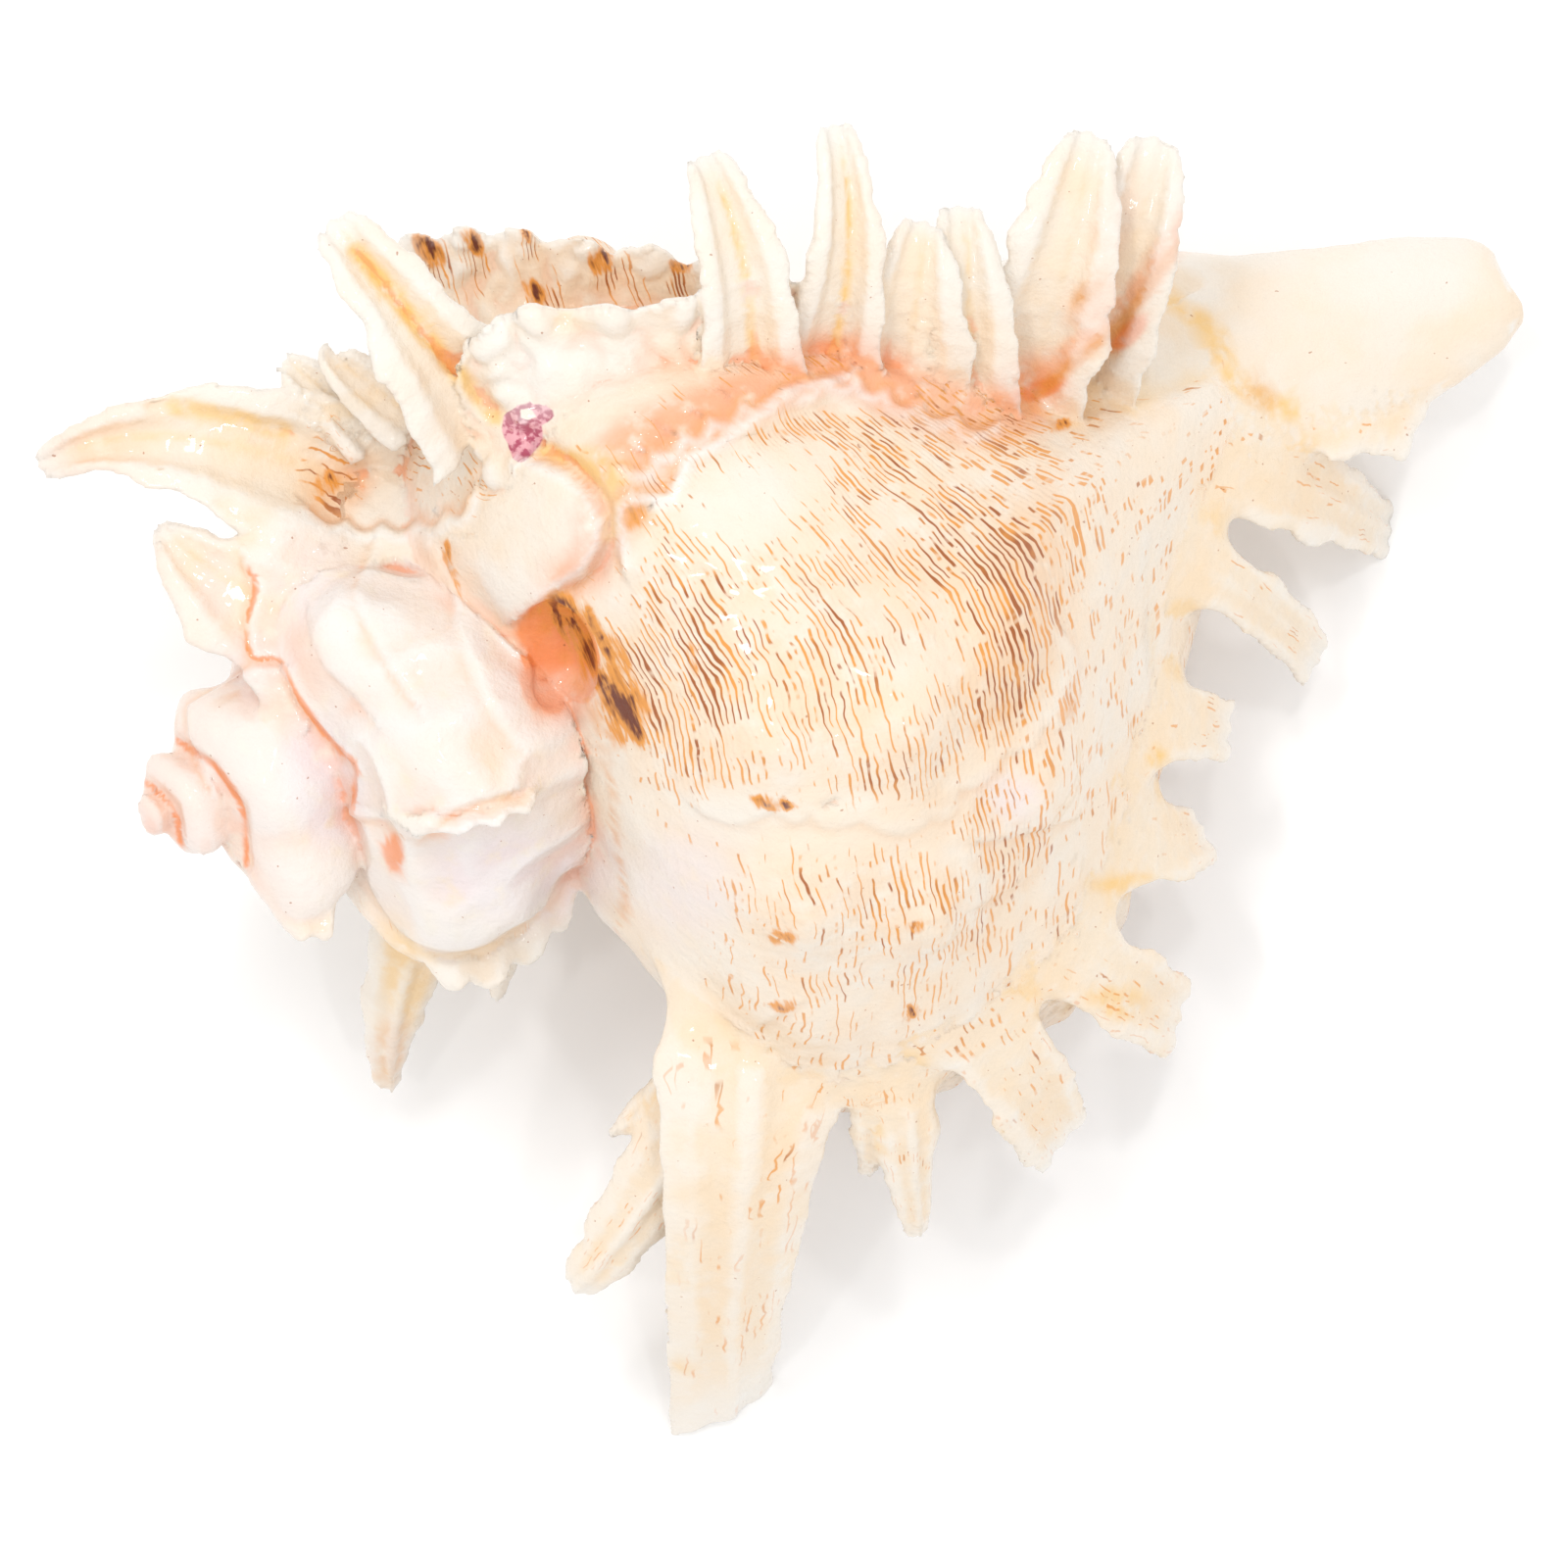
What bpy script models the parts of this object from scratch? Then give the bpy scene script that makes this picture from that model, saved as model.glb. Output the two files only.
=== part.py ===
"""A branched murex shell lying on its mouth side, back up: one closed solid, as the animal grew it.

The whorls are one tube that winds round the shell's axis and widens as it goes. Each stop in its
growth left a varix, a raised rib that carries fronds. The last varix is the outer lip, and the axis
ends in the siphonal canal. Lengths are millimetres until the last step. +Z is up.

Places on the shell are given as (along, around, out): the distance along the axis from the apex,
the angle round the axis from the back towards the outer lip in degrees, and the distance from it.
"""

import math

import bmesh
import bpy
import numpy as np

MM = 0.001

# How the shell lies. Its axis leans in plan and dips from the apex to the canal.
APEX = np.array((-81.5, -4.2, 57.0))
LEAN = math.radians(18)
DIP = math.radians(11)
AXIS = np.array((math.cos(DIP) * math.cos(LEAN), math.cos(DIP) * math.sin(LEAN), -math.sin(DIP)))
BACK = np.array((math.sin(DIP) * math.cos(LEAN), math.sin(DIP) * math.sin(LEAN), math.cos(DIP)))
SIDE = np.cross(AXIS, BACK)

# Past the whorls the axis bends away from the lip: (along, sideways).
AXIS_BEND = ((88, 0), (106, -3), (118, -6), (130, -8.5), (142, -10.3), (152, -11), (163, -10), (190, -10.5))

# The last whorl as it grew: (around, suture's place along, stretch along, radius). Each earlier
# whorl is the same, divided by GROWTH.
GROWTH = 2.04
RADIUS = 60.0
LAST_WHORL = ((-265, 22.5, 0.49, 29.4), (-200, 29, 0.62, 36), (-130, 36, 0.75, 42),
              (-90, 40, 0.82, 45), (-45, 44, 0.90, 47.5), (-14, 50, 0.95, 50), (8, 53, 1.0, 51.5),
              (30, 53, 1.0, 53), (63, 53, 0.98, 55), (95, 51.5, 0.95, RADIUS))
LIP_ANGLE = 95.0
WHORL_COUNT = 4.4
SECTION_STEP = 5.0
LIP_FLARE_FROM = 38.0
LIP_FLARE = 2.2

# The outline of the tube, from the suture to the neck: (past the suture, share of the radius).
WHORL_OUTLINE = ((-4, 0), (0, 0.36), (4, 0.62), (11, 0.86), (18, 0.97), (29, 1.0), (41, 0.95),
                 (54, 0.84), (66, 0.66), (77, 0.46), (88, 0.30), (98, 0.16), (102, 0))
LIP_OUTLINE = ((-4, 0), (0, 0.38), (5, 0.63), (13, 0.86), (22, 1.00), (31, 1.06), (44, 1.06), (58, 1.06),
               (65, 1.01), (71, 0.91), (78, 0.75), (85, 0.59), (92, 0.44), (98, 0.30), (104, 0.14), (107, 0))

# Varices: (around, height as a share of the radius, path), where the path says how far round the
# crest runs on at each distance past the suture.
STRAIGHT = ((0, 0),)
CREST_PATH = ((2, 17), (11, 11), (20, 3), (30, 1), (40, -1), (52, -3), (60, 4), (68, 9), (80, 8), (92, 0))
VARICES = ((90, 0.02, STRAIGHT), (-30, 0.10, CREST_PATH), (-176, 0.10, ((0, 10), (24, 0))),
           (-333, 0.11, STRAIGHT), (-450, 0.16, STRAIGHT), (-560, 0.14, STRAIGHT), (-642, 0.42, STRAIGHT),
           (-810, 0.16, STRAIGHT), (-930, 0.16, STRAIGHT), (-1005, 0.20, STRAIGHT), (-1170, 0.15, STRAIGHT))
VARIX_RISE = 36.0
VARIX_FALL = 7.0

# Knobs: (along, around, height, spread).
KNOBS = (
    (70, 18, 3.0, 6), (69, 45, 3.0, 6), (69, 66, 2.5, 5), (88, 20, 4.5, 7), (86, 50, 3.0, 6),
    (104, 18, 4.0, 7), (105, 44, 4.0, 7), (53, -90, 9.0, 7), (64, -84, 8.0, 6), (76, -80, 8.0, 6),
)

# The canal, as flat oval sections: (along, up, half width, half height).
CANAL = ((84, 8, 10, 12), (96, 7, 24, 22), (108, 5, 28, 25), (119, 3, 26.5, 23), (130, 1.5, 22.5, 18.5),
         (142, 1, 17.5, 12), (152, 1.5, 14, 8), (163, 1.5, 12.5, 6), (175, 1.5, 10.5, 5), (183, 2, 8, 4),
         (186.5, 2, 5.5, 3))
# The slot that runs under the canal from the mouth: (along, sideways, up), then its half sizes.
SLOT = ((100, 33, -6), (109, 25, -11), (119, 14, -17), (131, 4, -16), (142, 0, -12), (153, 0, -8),
        (166, 0, -6), (178, 0, -4.5), (190, 0, -2))
SLOT_HALF = (1.9, 5.0)

# The mouth: a horn that shrinks as it winds back inside: past the suture, share of the radius.
MOUTH_MIDDLE = (34, 0.62)
MOUTH_HALF = (24, 0.36)
MOUTH_INSIDE = 0.78
MOUTH_TAPER = 0.3
MOUTH_TURN = 40
MOUTH_DEPTH = 210
APEX_NUB = 3.6

# Ruffled walls on the varices: (around, path, from along, to along, height, scallops).
RUFFLES = ((-333, STRAIGHT, 29, 47, 2.6, 4), (-450, STRAIGHT, 17, 34, 4, 3), (-268, STRAIGHT, 30, 53, 5, 4),
           (-642, STRAIGHT, 10, 22, 3, 3))
RUFFLE_THICK = 2.8

# The pocket where the last varix but one meets the suture: its middle and its half sizes.
POCKET = (52.5, -2.5, 30)
POCKET_HALF = (5.2, 7.4, 9.0)

# Wavy sheets of shell: (base line, free edge, waves, rise of the edge's scallops, thickness). They
# are the flange on the crest of the last varix but one, the striped fan behind it and the lip's skirt.
SHEETS = (
    (((-36, 37, 76), (-31, 38, 80), (-24, 38.5, 84), (-16.8, 41.4, 84), (-12, 44.4, 82), (-3.6, 47.4, 78.5),
      (7.2, 49.5, 70), (15.6, 47.5, 69), (25.2, 44.4, 65), (31.2, 48.6, 54), (38, 55, 48), (45, 62, 46)),
     ((-40, 50, 83), (-37, 54, 85), (-31, 57, 87), (-21, 57, 88), (-12, 58.5, 88),
      (0, 61, 83.5), (9.6, 57, 76), (20, 57, 72), (28, 57, 68), (38, 60, 60), (45, 66, 56)), 11, 0, 2.6),
    (((-50, 52, 58), (-40, 53, 62), (-25, 52, 64), (-10, 52, 64)),
     ((-47, 66, 64), (-36, 67, 66), (-24, 65.5, 68), (-9, 63, 68)), 5, 1.6, 2.6),
    (((30, 50, 56), (34, 43, 57), (37, 34, 58), (38, 26, 58), (38.5, 16, 57), (37.5, 6, 55), (36, -4, 54),
      (33, -13, 53), (29, -19, 53), (22, -24, 54), (15, -27, 55), (6, -29, 56)),
     ((53, 62, 37), (60, 53, 32), (60, 43, 31), (54, 34, 33), (49.5, 23, 36), (47, 11, 39), (44.4, 0, 40),
      (41.4, -12, 41), (37.5, -20, 40), (33, -29, 40), (22, -36, 42), (10, -41, 43)), 9, 0, 4.5),
)
SHEET_HOLLOW = 2.2
SHEET_WAVE = 0.9
SHEET_TAPER = 0.45
SHEET_SUNK = 0.06
SCALLOP_START = 0.3

# Fronds in plan: (root, bend, tip, widths there, fold as a share of the width, notch at the end).
LIP_FRONDS = (
    ((-2, -22, 52), (-5.4, -51, 46), (-7.5, -78.5, -0.5), (30, 19, 14.5), 0.10, 3.0),
    ((-8, -38, 48), (-17.5, -52, 38), (-25.5, -62, 26), (15, 10, 6), 0.2, 0),
    ((-6, -33, 52), (-14.5, -38.5, 45), (-21.5, -43.2, 38), (10, 6, 1.5), 0.1, 0),
    ((14, -28, 56), (15.4, -44.5, 44), (16.4, -55.4, 28), (14, 8, 3.5), 0.1, 0),
    ((10.5, -33, 54), (10.8, -42, 46), (10.3, -47.6, 36), (8, 5, 2.5), 0.05, 0),
    ((22, -25, 55), (29.5, -36.5, 44), (34, -44.2, 28), (18, 13, 9.5), -0.1, 1.0),
    ((30, -17, 52), (40.4, -24, 42), (48.2, -28.8, 27), (18, 13, 9.5), -0.1, 1.0),
    ((33, -5, 51), (44, -6.8, 41), (51.3, -5.6, 27), (18, 14, 8), -0.1, 1.0),
    ((34, 7, 51), (46, 8, 41), (54.6, 6.8, 26), (18, 14, 8), -0.1, 0.6),
    ((42, 30, 46), (55, 24.4, 35), (65.8, 15.4, 12), (20, 10, 7), -0.06, 0.6),
    ((49, 43, 41), (64, 36.6, 28), (75.2, 31.4, -2), (22, 13, 7), -0.06, 0.6),
    ((60, 54, 33), (71, 49.5, 30), (79, 45, 26), (22, 19, 12), -0.04, 1.5),
    ((72, 60, 30), (79.6, 56.8, 27), (84.6, 54.6, 25), (16, 12, 7), -0.04, 0),
    ((70, 61.5, 28), (80, 61.6, 26), (89.4, 61.8, 25), (12, 12, 10.5), -0.04, 0.5),
)
UPPER_FRONDS = (
    ((-4.5, 45, 76), (-5.4, 62, 86.5), (-10, 75.6, 84), (14, 11, 5.5), 0.3, 0),
    ((3.5, 47, 70), (7.4, 64, 82), (5.8, 79.6, 82), (13, 9.5, 4.5), 0.3, 0),
    ((14, 46, 66), (15.4, 59, 76), (16.8, 67.8, 76), (16, 12.5, 6), 0.2, 0),
    ((21, 45, 63), (21.8, 59, 73.5), (21, 69.8, 73), (15, 11, 6), 0.2, 0),
    ((28, 47, 57), (33.6, 64, 69.5), (37, 79, 70), (17, 14, 7), 0.2, 0),
    ((35, 51, 51), (41.2, 64.5, 64), (45, 78.6, 66), (16, 14, 8), 0.2, 0),
    ((-36, 43, 76), (-45.6, 56.4, 84), (-54.8, 67.8, 84), (20, 12, 7), 0.2, 0),
    ((-50, 34, 56), (-73, 41.5, 62), (-90.5, 38.6, 60), (24, 13, 4), 0.3, 0),
    ((-55, 16, 60), (-68, 24, 63), (-76, 31.4, 62), (26, 15, 3), 0.15, 0),
    ((-50, 42, 58), (-58, 49, 60), (-60.5, 51, 60), (9, 6, 3), 0.2, 0),
    ((-45, 44, 62), (-53, 50, 64), (-55, 52.5, 64), (9, 6, 3), 0.2, 0),
    ((-42, 24, 60), (-51, 32, 57), (-57, 38, 54), (18, 17, 12), 0.05, 0),
)
UNDER_FRONDS = (
    ((-42, -12, 40), (-47.6, -26, 28), (-49, -37.4, 13), (14, 9, 4), 0.2, 0),
    ((-34, -18, 38), (-34.8, -22.6, 34), (-35.4, -26.4, 30), (7, 4, 2), 0.1, 0),
    ((-25, -16, 38), (-25.6, -21.6, 34), (-26, -25.4, 30), (7, 5, 2.5), 0.1, 0),
    ((-20, 20, 16), (-30, 30, 9), (-37, 37, -2.5), (15, 10, 7), 0.2, 0),
    ((0, 26, 12), (-4, 36, 8), (-8, 44, 2), (12, 8, 4), 0.2, 0),
    ((16, 30, 12), (14, 40, 10), (12, 48, 6), (11, 7, 4), 0.2, 0),
)
FROND_THICK = 3.2

# The voxel and triangle budget of the fused solid.
VOXEL = 1.1
TRIANGLES = 9400


def place(along, around, out):
    """The point at this distance along the axis, angle round it in degrees and distance from it."""
    along, around, out = np.broadcast_arrays(*(np.asarray(v, float) for v in (along, around, out)))
    turn = np.radians(around)
    return beside(along, out * np.sin(turn), out * np.cos(turn))


def beside(along, sideways, up):
    """The point at this distance along the axis, then sideways (towards the lip) and up from it."""
    along, sideways, up = np.broadcast_arrays(*(np.asarray(v, float) for v in (along, sideways, up)))
    sideways = sideways + np.interp(along, *np.transpose(AXIS_BEND))
    return APEX + along[..., None] * AXIS + sideways[..., None] * SIDE + up[..., None] * BACK


def smooth_step(value):
    value = np.clip(value, 0, 1)
    return value * value * (3 - 2 * value)


def resample(outline, count):
    """Points evenly spaced along a smooth curve through the outline, which is in shares of RADIUS."""
    outline = np.array(outline, float)
    curve = []
    padded = np.vstack((2 * outline[0] - outline[1], outline, 2 * outline[-1] - outline[-2]))
    for a, b, c, d in zip(padded, padded[1:], padded[2:], padded[3:]):
        for u in np.linspace(0, 1, 12, endpoint=False):
            curve.append(0.5 * (2 * b + (c - a) * u + (2 * a - 5 * b + 4 * c - d) * u**2
                                + (3 * b - a - 3 * c + d) * u**3))
    curve.append(outline[-1])
    curve = np.array(curve)
    length = np.linalg.norm(np.diff(curve, axis=0) * (1, RADIUS), axis=1)
    length = np.concatenate(([0], np.cumsum(length)))
    at = np.linspace(0, length[-1], count)
    return np.stack([np.interp(at, length, curve[:, k]) for k in range(2)], axis=1)


WHORL_SECTION = resample(WHORL_OUTLINE, 60)
LIP_SECTION = resample(LIP_OUTLINE, 60)


def run_on(path, past_suture):
    """How far round a varix's crest has run on at this distance past the suture."""
    return np.interp(past_suture, *np.transpose(path))


def varix_swell(around, past_suture):
    """How much the varices raise the whorl: a slow rise on the older side, a quick fall after."""
    swell = 0.0
    for middle, height, path in VARICES:
        beyond = around - middle - run_on(path, past_suture)
        rising = smooth_step(1 + beyond / VARIX_RISE)
        rise = np.where(beyond < 0, rising, 1 - smooth_step(beyond / VARIX_FALL))
        swell = swell + height * rise
    return swell


def growth_at(around):
    """The suture's place along, the stretch along and the radius of the tube at this angle."""
    back = math.ceil(max(0.0, (LAST_WHORL[0][0] - around) / 360))
    table = np.array(LAST_WHORL)
    at = around + 360 * back
    return [np.interp(at, table[:, 0], table[:, k]) / GROWTH**back for k in (1, 2, 3)]


def section_at(around):
    """The outline of the tube at this angle, as rows of (along, out)."""
    suture, stretch, radius = growth_at(around)
    flare = max(0.0, (around - LIP_FLARE_FROM) / (LIP_ANGLE - LIP_FLARE_FROM)) ** LIP_FLARE
    section = WHORL_SECTION * (1 - flare) + LIP_SECTION * flare
    swell = varix_swell(around, section[:, 0])
    section = section * (stretch, radius) + (suture, 0)
    section[:, 1] *= 1 + swell
    for along, at, height, spread in KNOBS:
        apart = np.hypot(section[:, 0] - along, np.radians(around - at) * section[:, 1])
        section[:, 1] += height * np.exp(-(apart / spread) ** 2)
    return section


def whorls():
    """The tube as a loft of unlike sections from the apex to the outer lip."""
    rows = []
    for around in np.arange(LIP_ANGLE - WHORL_COUNT * 360, LIP_ANGLE + 0.1, SECTION_STEP):
        section = section_at(around)
        rows.append(place(section[:, 0], around, section[:, 1]))
    return grid_mesh("whorls", np.array(rows))


def ruffle(middle, path, start, end, height, scallops):
    """A scalloped wall that stands on a varix and leans to the newer side."""
    rows = []
    for u in np.linspace(0, 1, 8 * scallops + 1):
        along = start + (end - start) * u
        suture, stretch, _ = growth_at(middle)
        around = middle + float(run_on(path, (along - suture) / stretch))
        outline = section_at(around)
        base = float(np.interp(along, outline[:, 0], outline[:, 1]))
        rise = height * math.sin(math.pi * min(1, 6 * u, 6 * (1 - u)) / 2)
        rise *= 0.6 + 0.4 * abs(math.sin(math.pi * scallops * u))
        half = math.degrees(RUFFLE_THICK / 2 / max(base, 1))
        lean = math.degrees(0.35 * rise / max(base, 1))
        wave = math.degrees(0.12 * rise / max(base, 1)) * math.sin(2 * math.pi * scallops * u)
        rows.append(place(along, [around - half, around + half, around + 0.6 * half + lean + wave,
                                  around - 0.6 * half + lean + wave],
                          [base - 4, base - 4, base + rise, base + rise]))
    return grid_mesh("ruffle", np.array(rows))


def canal():
    """The flat siphonal canal, which bends away from the lip."""
    turns = np.radians(np.arange(0, 360, 15))
    rows = []
    for along, up, half_width, half_height in CANAL:
        rows.append(beside(along, half_width * np.cos(turns), up + half_height * np.sin(turns)))
    return grid_mesh("canal", np.array(rows))


def smooth_line(points, count):
    """Evenly numbered points along a smooth curve through these."""
    points = np.array(points, float)
    at = np.linspace(0, len(points) - 1, count)
    padded = np.vstack((2 * points[0] - points[1], points, 2 * points[-1] - points[-2]))
    index = np.minimum(at.astype(int), len(points) - 2)
    u = (at - index)[:, None]
    a, b, c, d = (padded[index + k] for k in range(4))
    return 0.5 * (2 * b + (c - a) * u + (2 * a - 5 * b + 4 * c - d) * u**2 + (3 * b - a - 3 * c + d) * u**3)


def sheet(base, edge, waves, scallops, thick):
    """A wavy sheet of shell, hollow between its base and its free edge."""
    count, shares = 12 * waves + 1, np.linspace(0, 1, 6)
    rows = []
    for i, (low, high) in enumerate(zip(smooth_line(base, count), smooth_line(edge, count))):
        u = i / (count - 1)
        wave = math.sin(2 * math.pi * waves * u)
        high = high + (high - low) / np.linalg.norm(high - low) * scallops * (
            abs(math.sin(math.pi * (waves * u + SCALLOP_START))) - 0.5)
        ring = []
        for side, part in ((1, shares), (-1, shares[::-1])):
            for share in part:
                drop = -SHEET_HOLLOW * math.sin(math.pi * share) + SHEET_WAVE * wave * share**1.5
                drop += side * thick / 2 * (1 - SHEET_TAPER * share)
                ring.append(low + (high - low) * (share - SHEET_SUNK * (1 - share)) + (0, 0, drop))
        rows.append(ring)
    return grid_mesh("sheet", np.array(rows))


def frond(root, bend, tip, widths, fold, notch, facing):
    """A folded blade from root through bend to tip. Its open side looks along facing."""
    root, bend, tip, facing = (np.array(v, float) for v in (root, bend, tip, facing))
    pull = 2 * bend - 0.5 * (root + tip)
    broad = 2 * widths[1] - 0.5 * (widths[0] + widths[2])
    across = np.linspace(-1, 1, 9)
    rows = []
    for u in np.linspace(0, 1, 13):
        centre = (1 - u) ** 2 * root + 2 * u * (1 - u) * pull + u**2 * tip
        ahead = 2 * (1 - u) * (pull - root) + 2 * u * (tip - pull)
        ahead /= np.linalg.norm(ahead)
        wide = np.cross(ahead, facing)
        wide /= np.linalg.norm(wide)
        face = np.cross(wide, ahead)
        width = (1 - u) ** 2 * widths[0] + 2 * u * (1 - u) * broad + u**2 * widths[2]
        thick = min(FROND_THICK, 0.8 * width) * (1 - 0.25 * u)
        ring = []
        for v, surface in [(v, 1) for v in across] + [(v, -1) for v in across[::-1]]:
            curl = fold * width * (math.sqrt(v * v + 0.02) - 0.45)
            end = u**6 * (notch * (v * v - 0.5) - (0 if notch else 0.3 * width * v * v))
            edge = math.sqrt(1 - 0.85 * v * v)
            ring.append(centre + wide * (v * width / 2) + face * (curl + surface * thick / 2 * edge)
                        + ahead * end)
        rows.append(ring)
    return grid_mesh("frond", np.array(rows))


def grid_mesh(name, points):
    """A closed tube through rows of points, capped at both ends."""
    count = points.shape[1]
    mesh = bpy.data.meshes.new(name)
    bm = bmesh.new()
    verts = [[bm.verts.new(p) for p in row] for row in points]
    for this, following in zip(verts, verts[1:]):
        for j in range(count):
            k = (j + 1) % count
            bm.faces.new((this[j], this[k], following[k], following[j]))
    bm.faces.new(verts[0][::-1])
    bm.faces.new(verts[-1])
    if bm.calc_volume(signed=True) < 0:
        bmesh.ops.reverse_faces(bm, faces=bm.faces)
    bm.to_mesh(mesh)
    bm.free()
    obj = bpy.data.objects.new(name, mesh)
    bpy.context.scene.collection.objects.link(obj)
    return obj


def mouth():
    """The cutter for the mouth: oval sections that wind back and shrink with the whorl."""
    turns = np.radians(np.arange(0, 360, 15))
    rows = []
    for around in np.arange(LIP_ANGLE + 12, LIP_ANGLE - MOUTH_DEPTH, -6):
        suture, stretch, radius = growth_at(min(around, LIP_ANGLE))
        inside = float(smooth_step((LIP_ANGLE - around) / MOUTH_TURN))
        narrow = 1 - (1 - MOUTH_INSIDE) * inside
        narrow -= MOUTH_TAPER * float(smooth_step((LIP_ANGLE - around) / MOUTH_DEPTH))
        along = suture + stretch * (MOUTH_MIDDLE[0] + narrow * MOUTH_HALF[0] * np.cos(turns))
        out = radius * (MOUTH_MIDDLE[1] + narrow * MOUTH_HALF[1] * np.sin(turns))
        rows.append(place(along, around, out))
    return grid_mesh("mouth", np.array(rows))


def ball(name, middle, half_sizes):
    """A closed oval ball."""
    bm = bmesh.new()
    bmesh.ops.create_icosphere(bm, subdivisions=3, radius=1)
    bmesh.ops.scale(bm, verts=bm.verts, vec=half_sizes)
    bmesh.ops.translate(bm, verts=bm.verts, vec=middle)
    mesh = bpy.data.meshes.new(name)
    bm.to_mesh(mesh)
    bm.free()
    obj = bpy.data.objects.new(name, mesh)
    bpy.context.scene.collection.objects.link(obj)
    return obj


def ground():
    """The cutter that leaves a small worn flat where a frond meets the ground."""
    reach, depth = 150.0, 60.0
    corners = ((-reach, -reach), (reach, -reach), (reach, reach), (-reach, reach))
    return grid_mesh("ground", np.array([[(x, y, z) for x, y in corners] for z in (-depth, 0)]))


def slot():
    """The cutter for the slot under the canal."""
    rows = []
    for middle in smooth_line(SLOT, 41):
        rows.append([
            beside(middle[0], middle[1] + SLOT_HALF[0] * i, middle[2] + SLOT_HALF[1] * j)
            for i, j in ((1, 1), (-1, 1), (-1, -1), (1, -1))
        ])
    return grid_mesh("slot", np.array(rows))


def grown_pieces():
    """Everything that is fused into the shell."""
    nub = ball("nub", APEX + 1.5 * AXIS, (APEX_NUB, APEX_NUB, APEX_NUB))
    pieces = [whorls(), canal(), nub]
    pieces += [ruffle(*row) for row in RUFFLES]
    pieces += [sheet(*row) for row in SHEETS]
    pieces += [frond(*row, facing=-BACK) for row in LIP_FRONDS + UNDER_FRONDS]
    pieces += [frond(*row, facing=BACK) for row in UPPER_FRONDS]
    return pieces


def fuse(pieces):
    """One object of all the pieces, joined, ready for a voxel remesh."""
    with bpy.context.temp_override(active_object=pieces[0], selected_editable_objects=pieces):
        bpy.ops.object.join()
    return pieces[0]


def add_modifier(obj, kind, **settings):
    modifier = obj.modifiers.new(kind.lower(), kind)
    for name, value in settings.items():
        setattr(modifier, name, value)
    return modifier


def evaluated_mesh(obj):
    graph = bpy.context.evaluated_depsgraph_get()
    return bpy.data.meshes.new_from_object(obj.evaluated_get(graph), depsgraph=graph)


def keep_main_body(bm):
    """Drops the crumbs that the remesh leaves off the main body."""
    left = set(bm.verts)
    bodies = []
    while left:
        queue = [left.pop()]
        body = set(queue)
        while queue:
            for edge in queue.pop().link_edges:
                for vert in edge.verts:
                    if vert in left:
                        left.remove(vert)
                        body.add(vert)
                        queue.append(vert)
        bodies.append(body)
    main_body = max(bodies, key=len)
    crumbs = [v for v in bm.verts if v not in main_body]
    bmesh.ops.delete(bm, geom=crumbs, context="VERTS")


def shell_material():
    material = bpy.data.materials.new("shell")
    material.use_nodes = True
    shader = material.node_tree.nodes["Principled BSDF"]
    shader.inputs["Base Color"].default_value = (0.88, 0.78, 0.64, 1)
    shader.inputs["Roughness"].default_value = 0.35
    return material


def main():
    for obj in list(bpy.data.objects):
        bpy.data.objects.remove(obj, do_unlink=True)
    scene = bpy.context.scene.collection
    shell = fuse(grown_pieces())
    add_modifier(shell, "REMESH", mode="VOXEL", voxel_size=VOXEL)
    add_modifier(shell, "SMOOTH", factor=0.5, iterations=2)
    cutters = bpy.data.collections.new("Cutters")
    scene.children.link(cutters)
    for cutter in (mouth(), slot(), ball("pocket", place(*POCKET), POCKET_HALF), ground()):
        scene.objects.unlink(cutter)
        cutters.objects.link(cutter)
        cutter.hide_render = True
        cutter.display_type = "WIRE"
        if cutter.name == "ground":
            count = len(evaluated_mesh(shell).polygons)
            add_modifier(shell, "DECIMATE", ratio=TRIANGLES / (2 * count))
        add_modifier(shell, "BOOLEAN", operation="DIFFERENCE", solver="EXACT", object=cutter)

    mesh = evaluated_mesh(shell)
    bm = bmesh.new()
    bm.from_mesh(mesh)
    keep_main_body(bm)
    corners = np.array([v.co for v in bm.verts])
    middle = (corners.min(axis=0) + corners.max(axis=0)) / 2
    bmesh.ops.translate(bm, verts=bm.verts, vec=(-middle[0], -middle[1], 0))
    bmesh.ops.scale(bm, verts=bm.verts, vec=(MM, MM, MM))
    bmesh.ops.triangulate(bm, faces=bm.faces)
    bm.to_mesh(mesh)
    bm.free()
    for obj in list(bpy.data.objects):
        bpy.data.objects.remove(obj, do_unlink=True)
    shell = bpy.data.objects.new("shell", mesh)
    shell.data.materials.clear()
    shell.data.materials.append(shell_material())
    home = bpy.data.collections.new("Murex shell")
    scene.children.link(home)
    home.objects.link(shell)


if __name__ == "__main__":
    main()
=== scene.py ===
"""The looks of a branched murex shell, laid out as an add-on: the shell, and a plain stage.

Lengths on the shell are millimetres until its mesh is finished. Places on it are given as (along,
around, out): the distance along the axis from the apex, the angle round the axis from the back
towards the outer lip in degrees, and the distance from the axis. Lines and patches "in plan" are in
the same millimetres, as seen from above.
"""

import math

import bmesh
import bpy
import numpy as np
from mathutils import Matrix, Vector, noise
from mathutils.kdtree import KDTree


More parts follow.
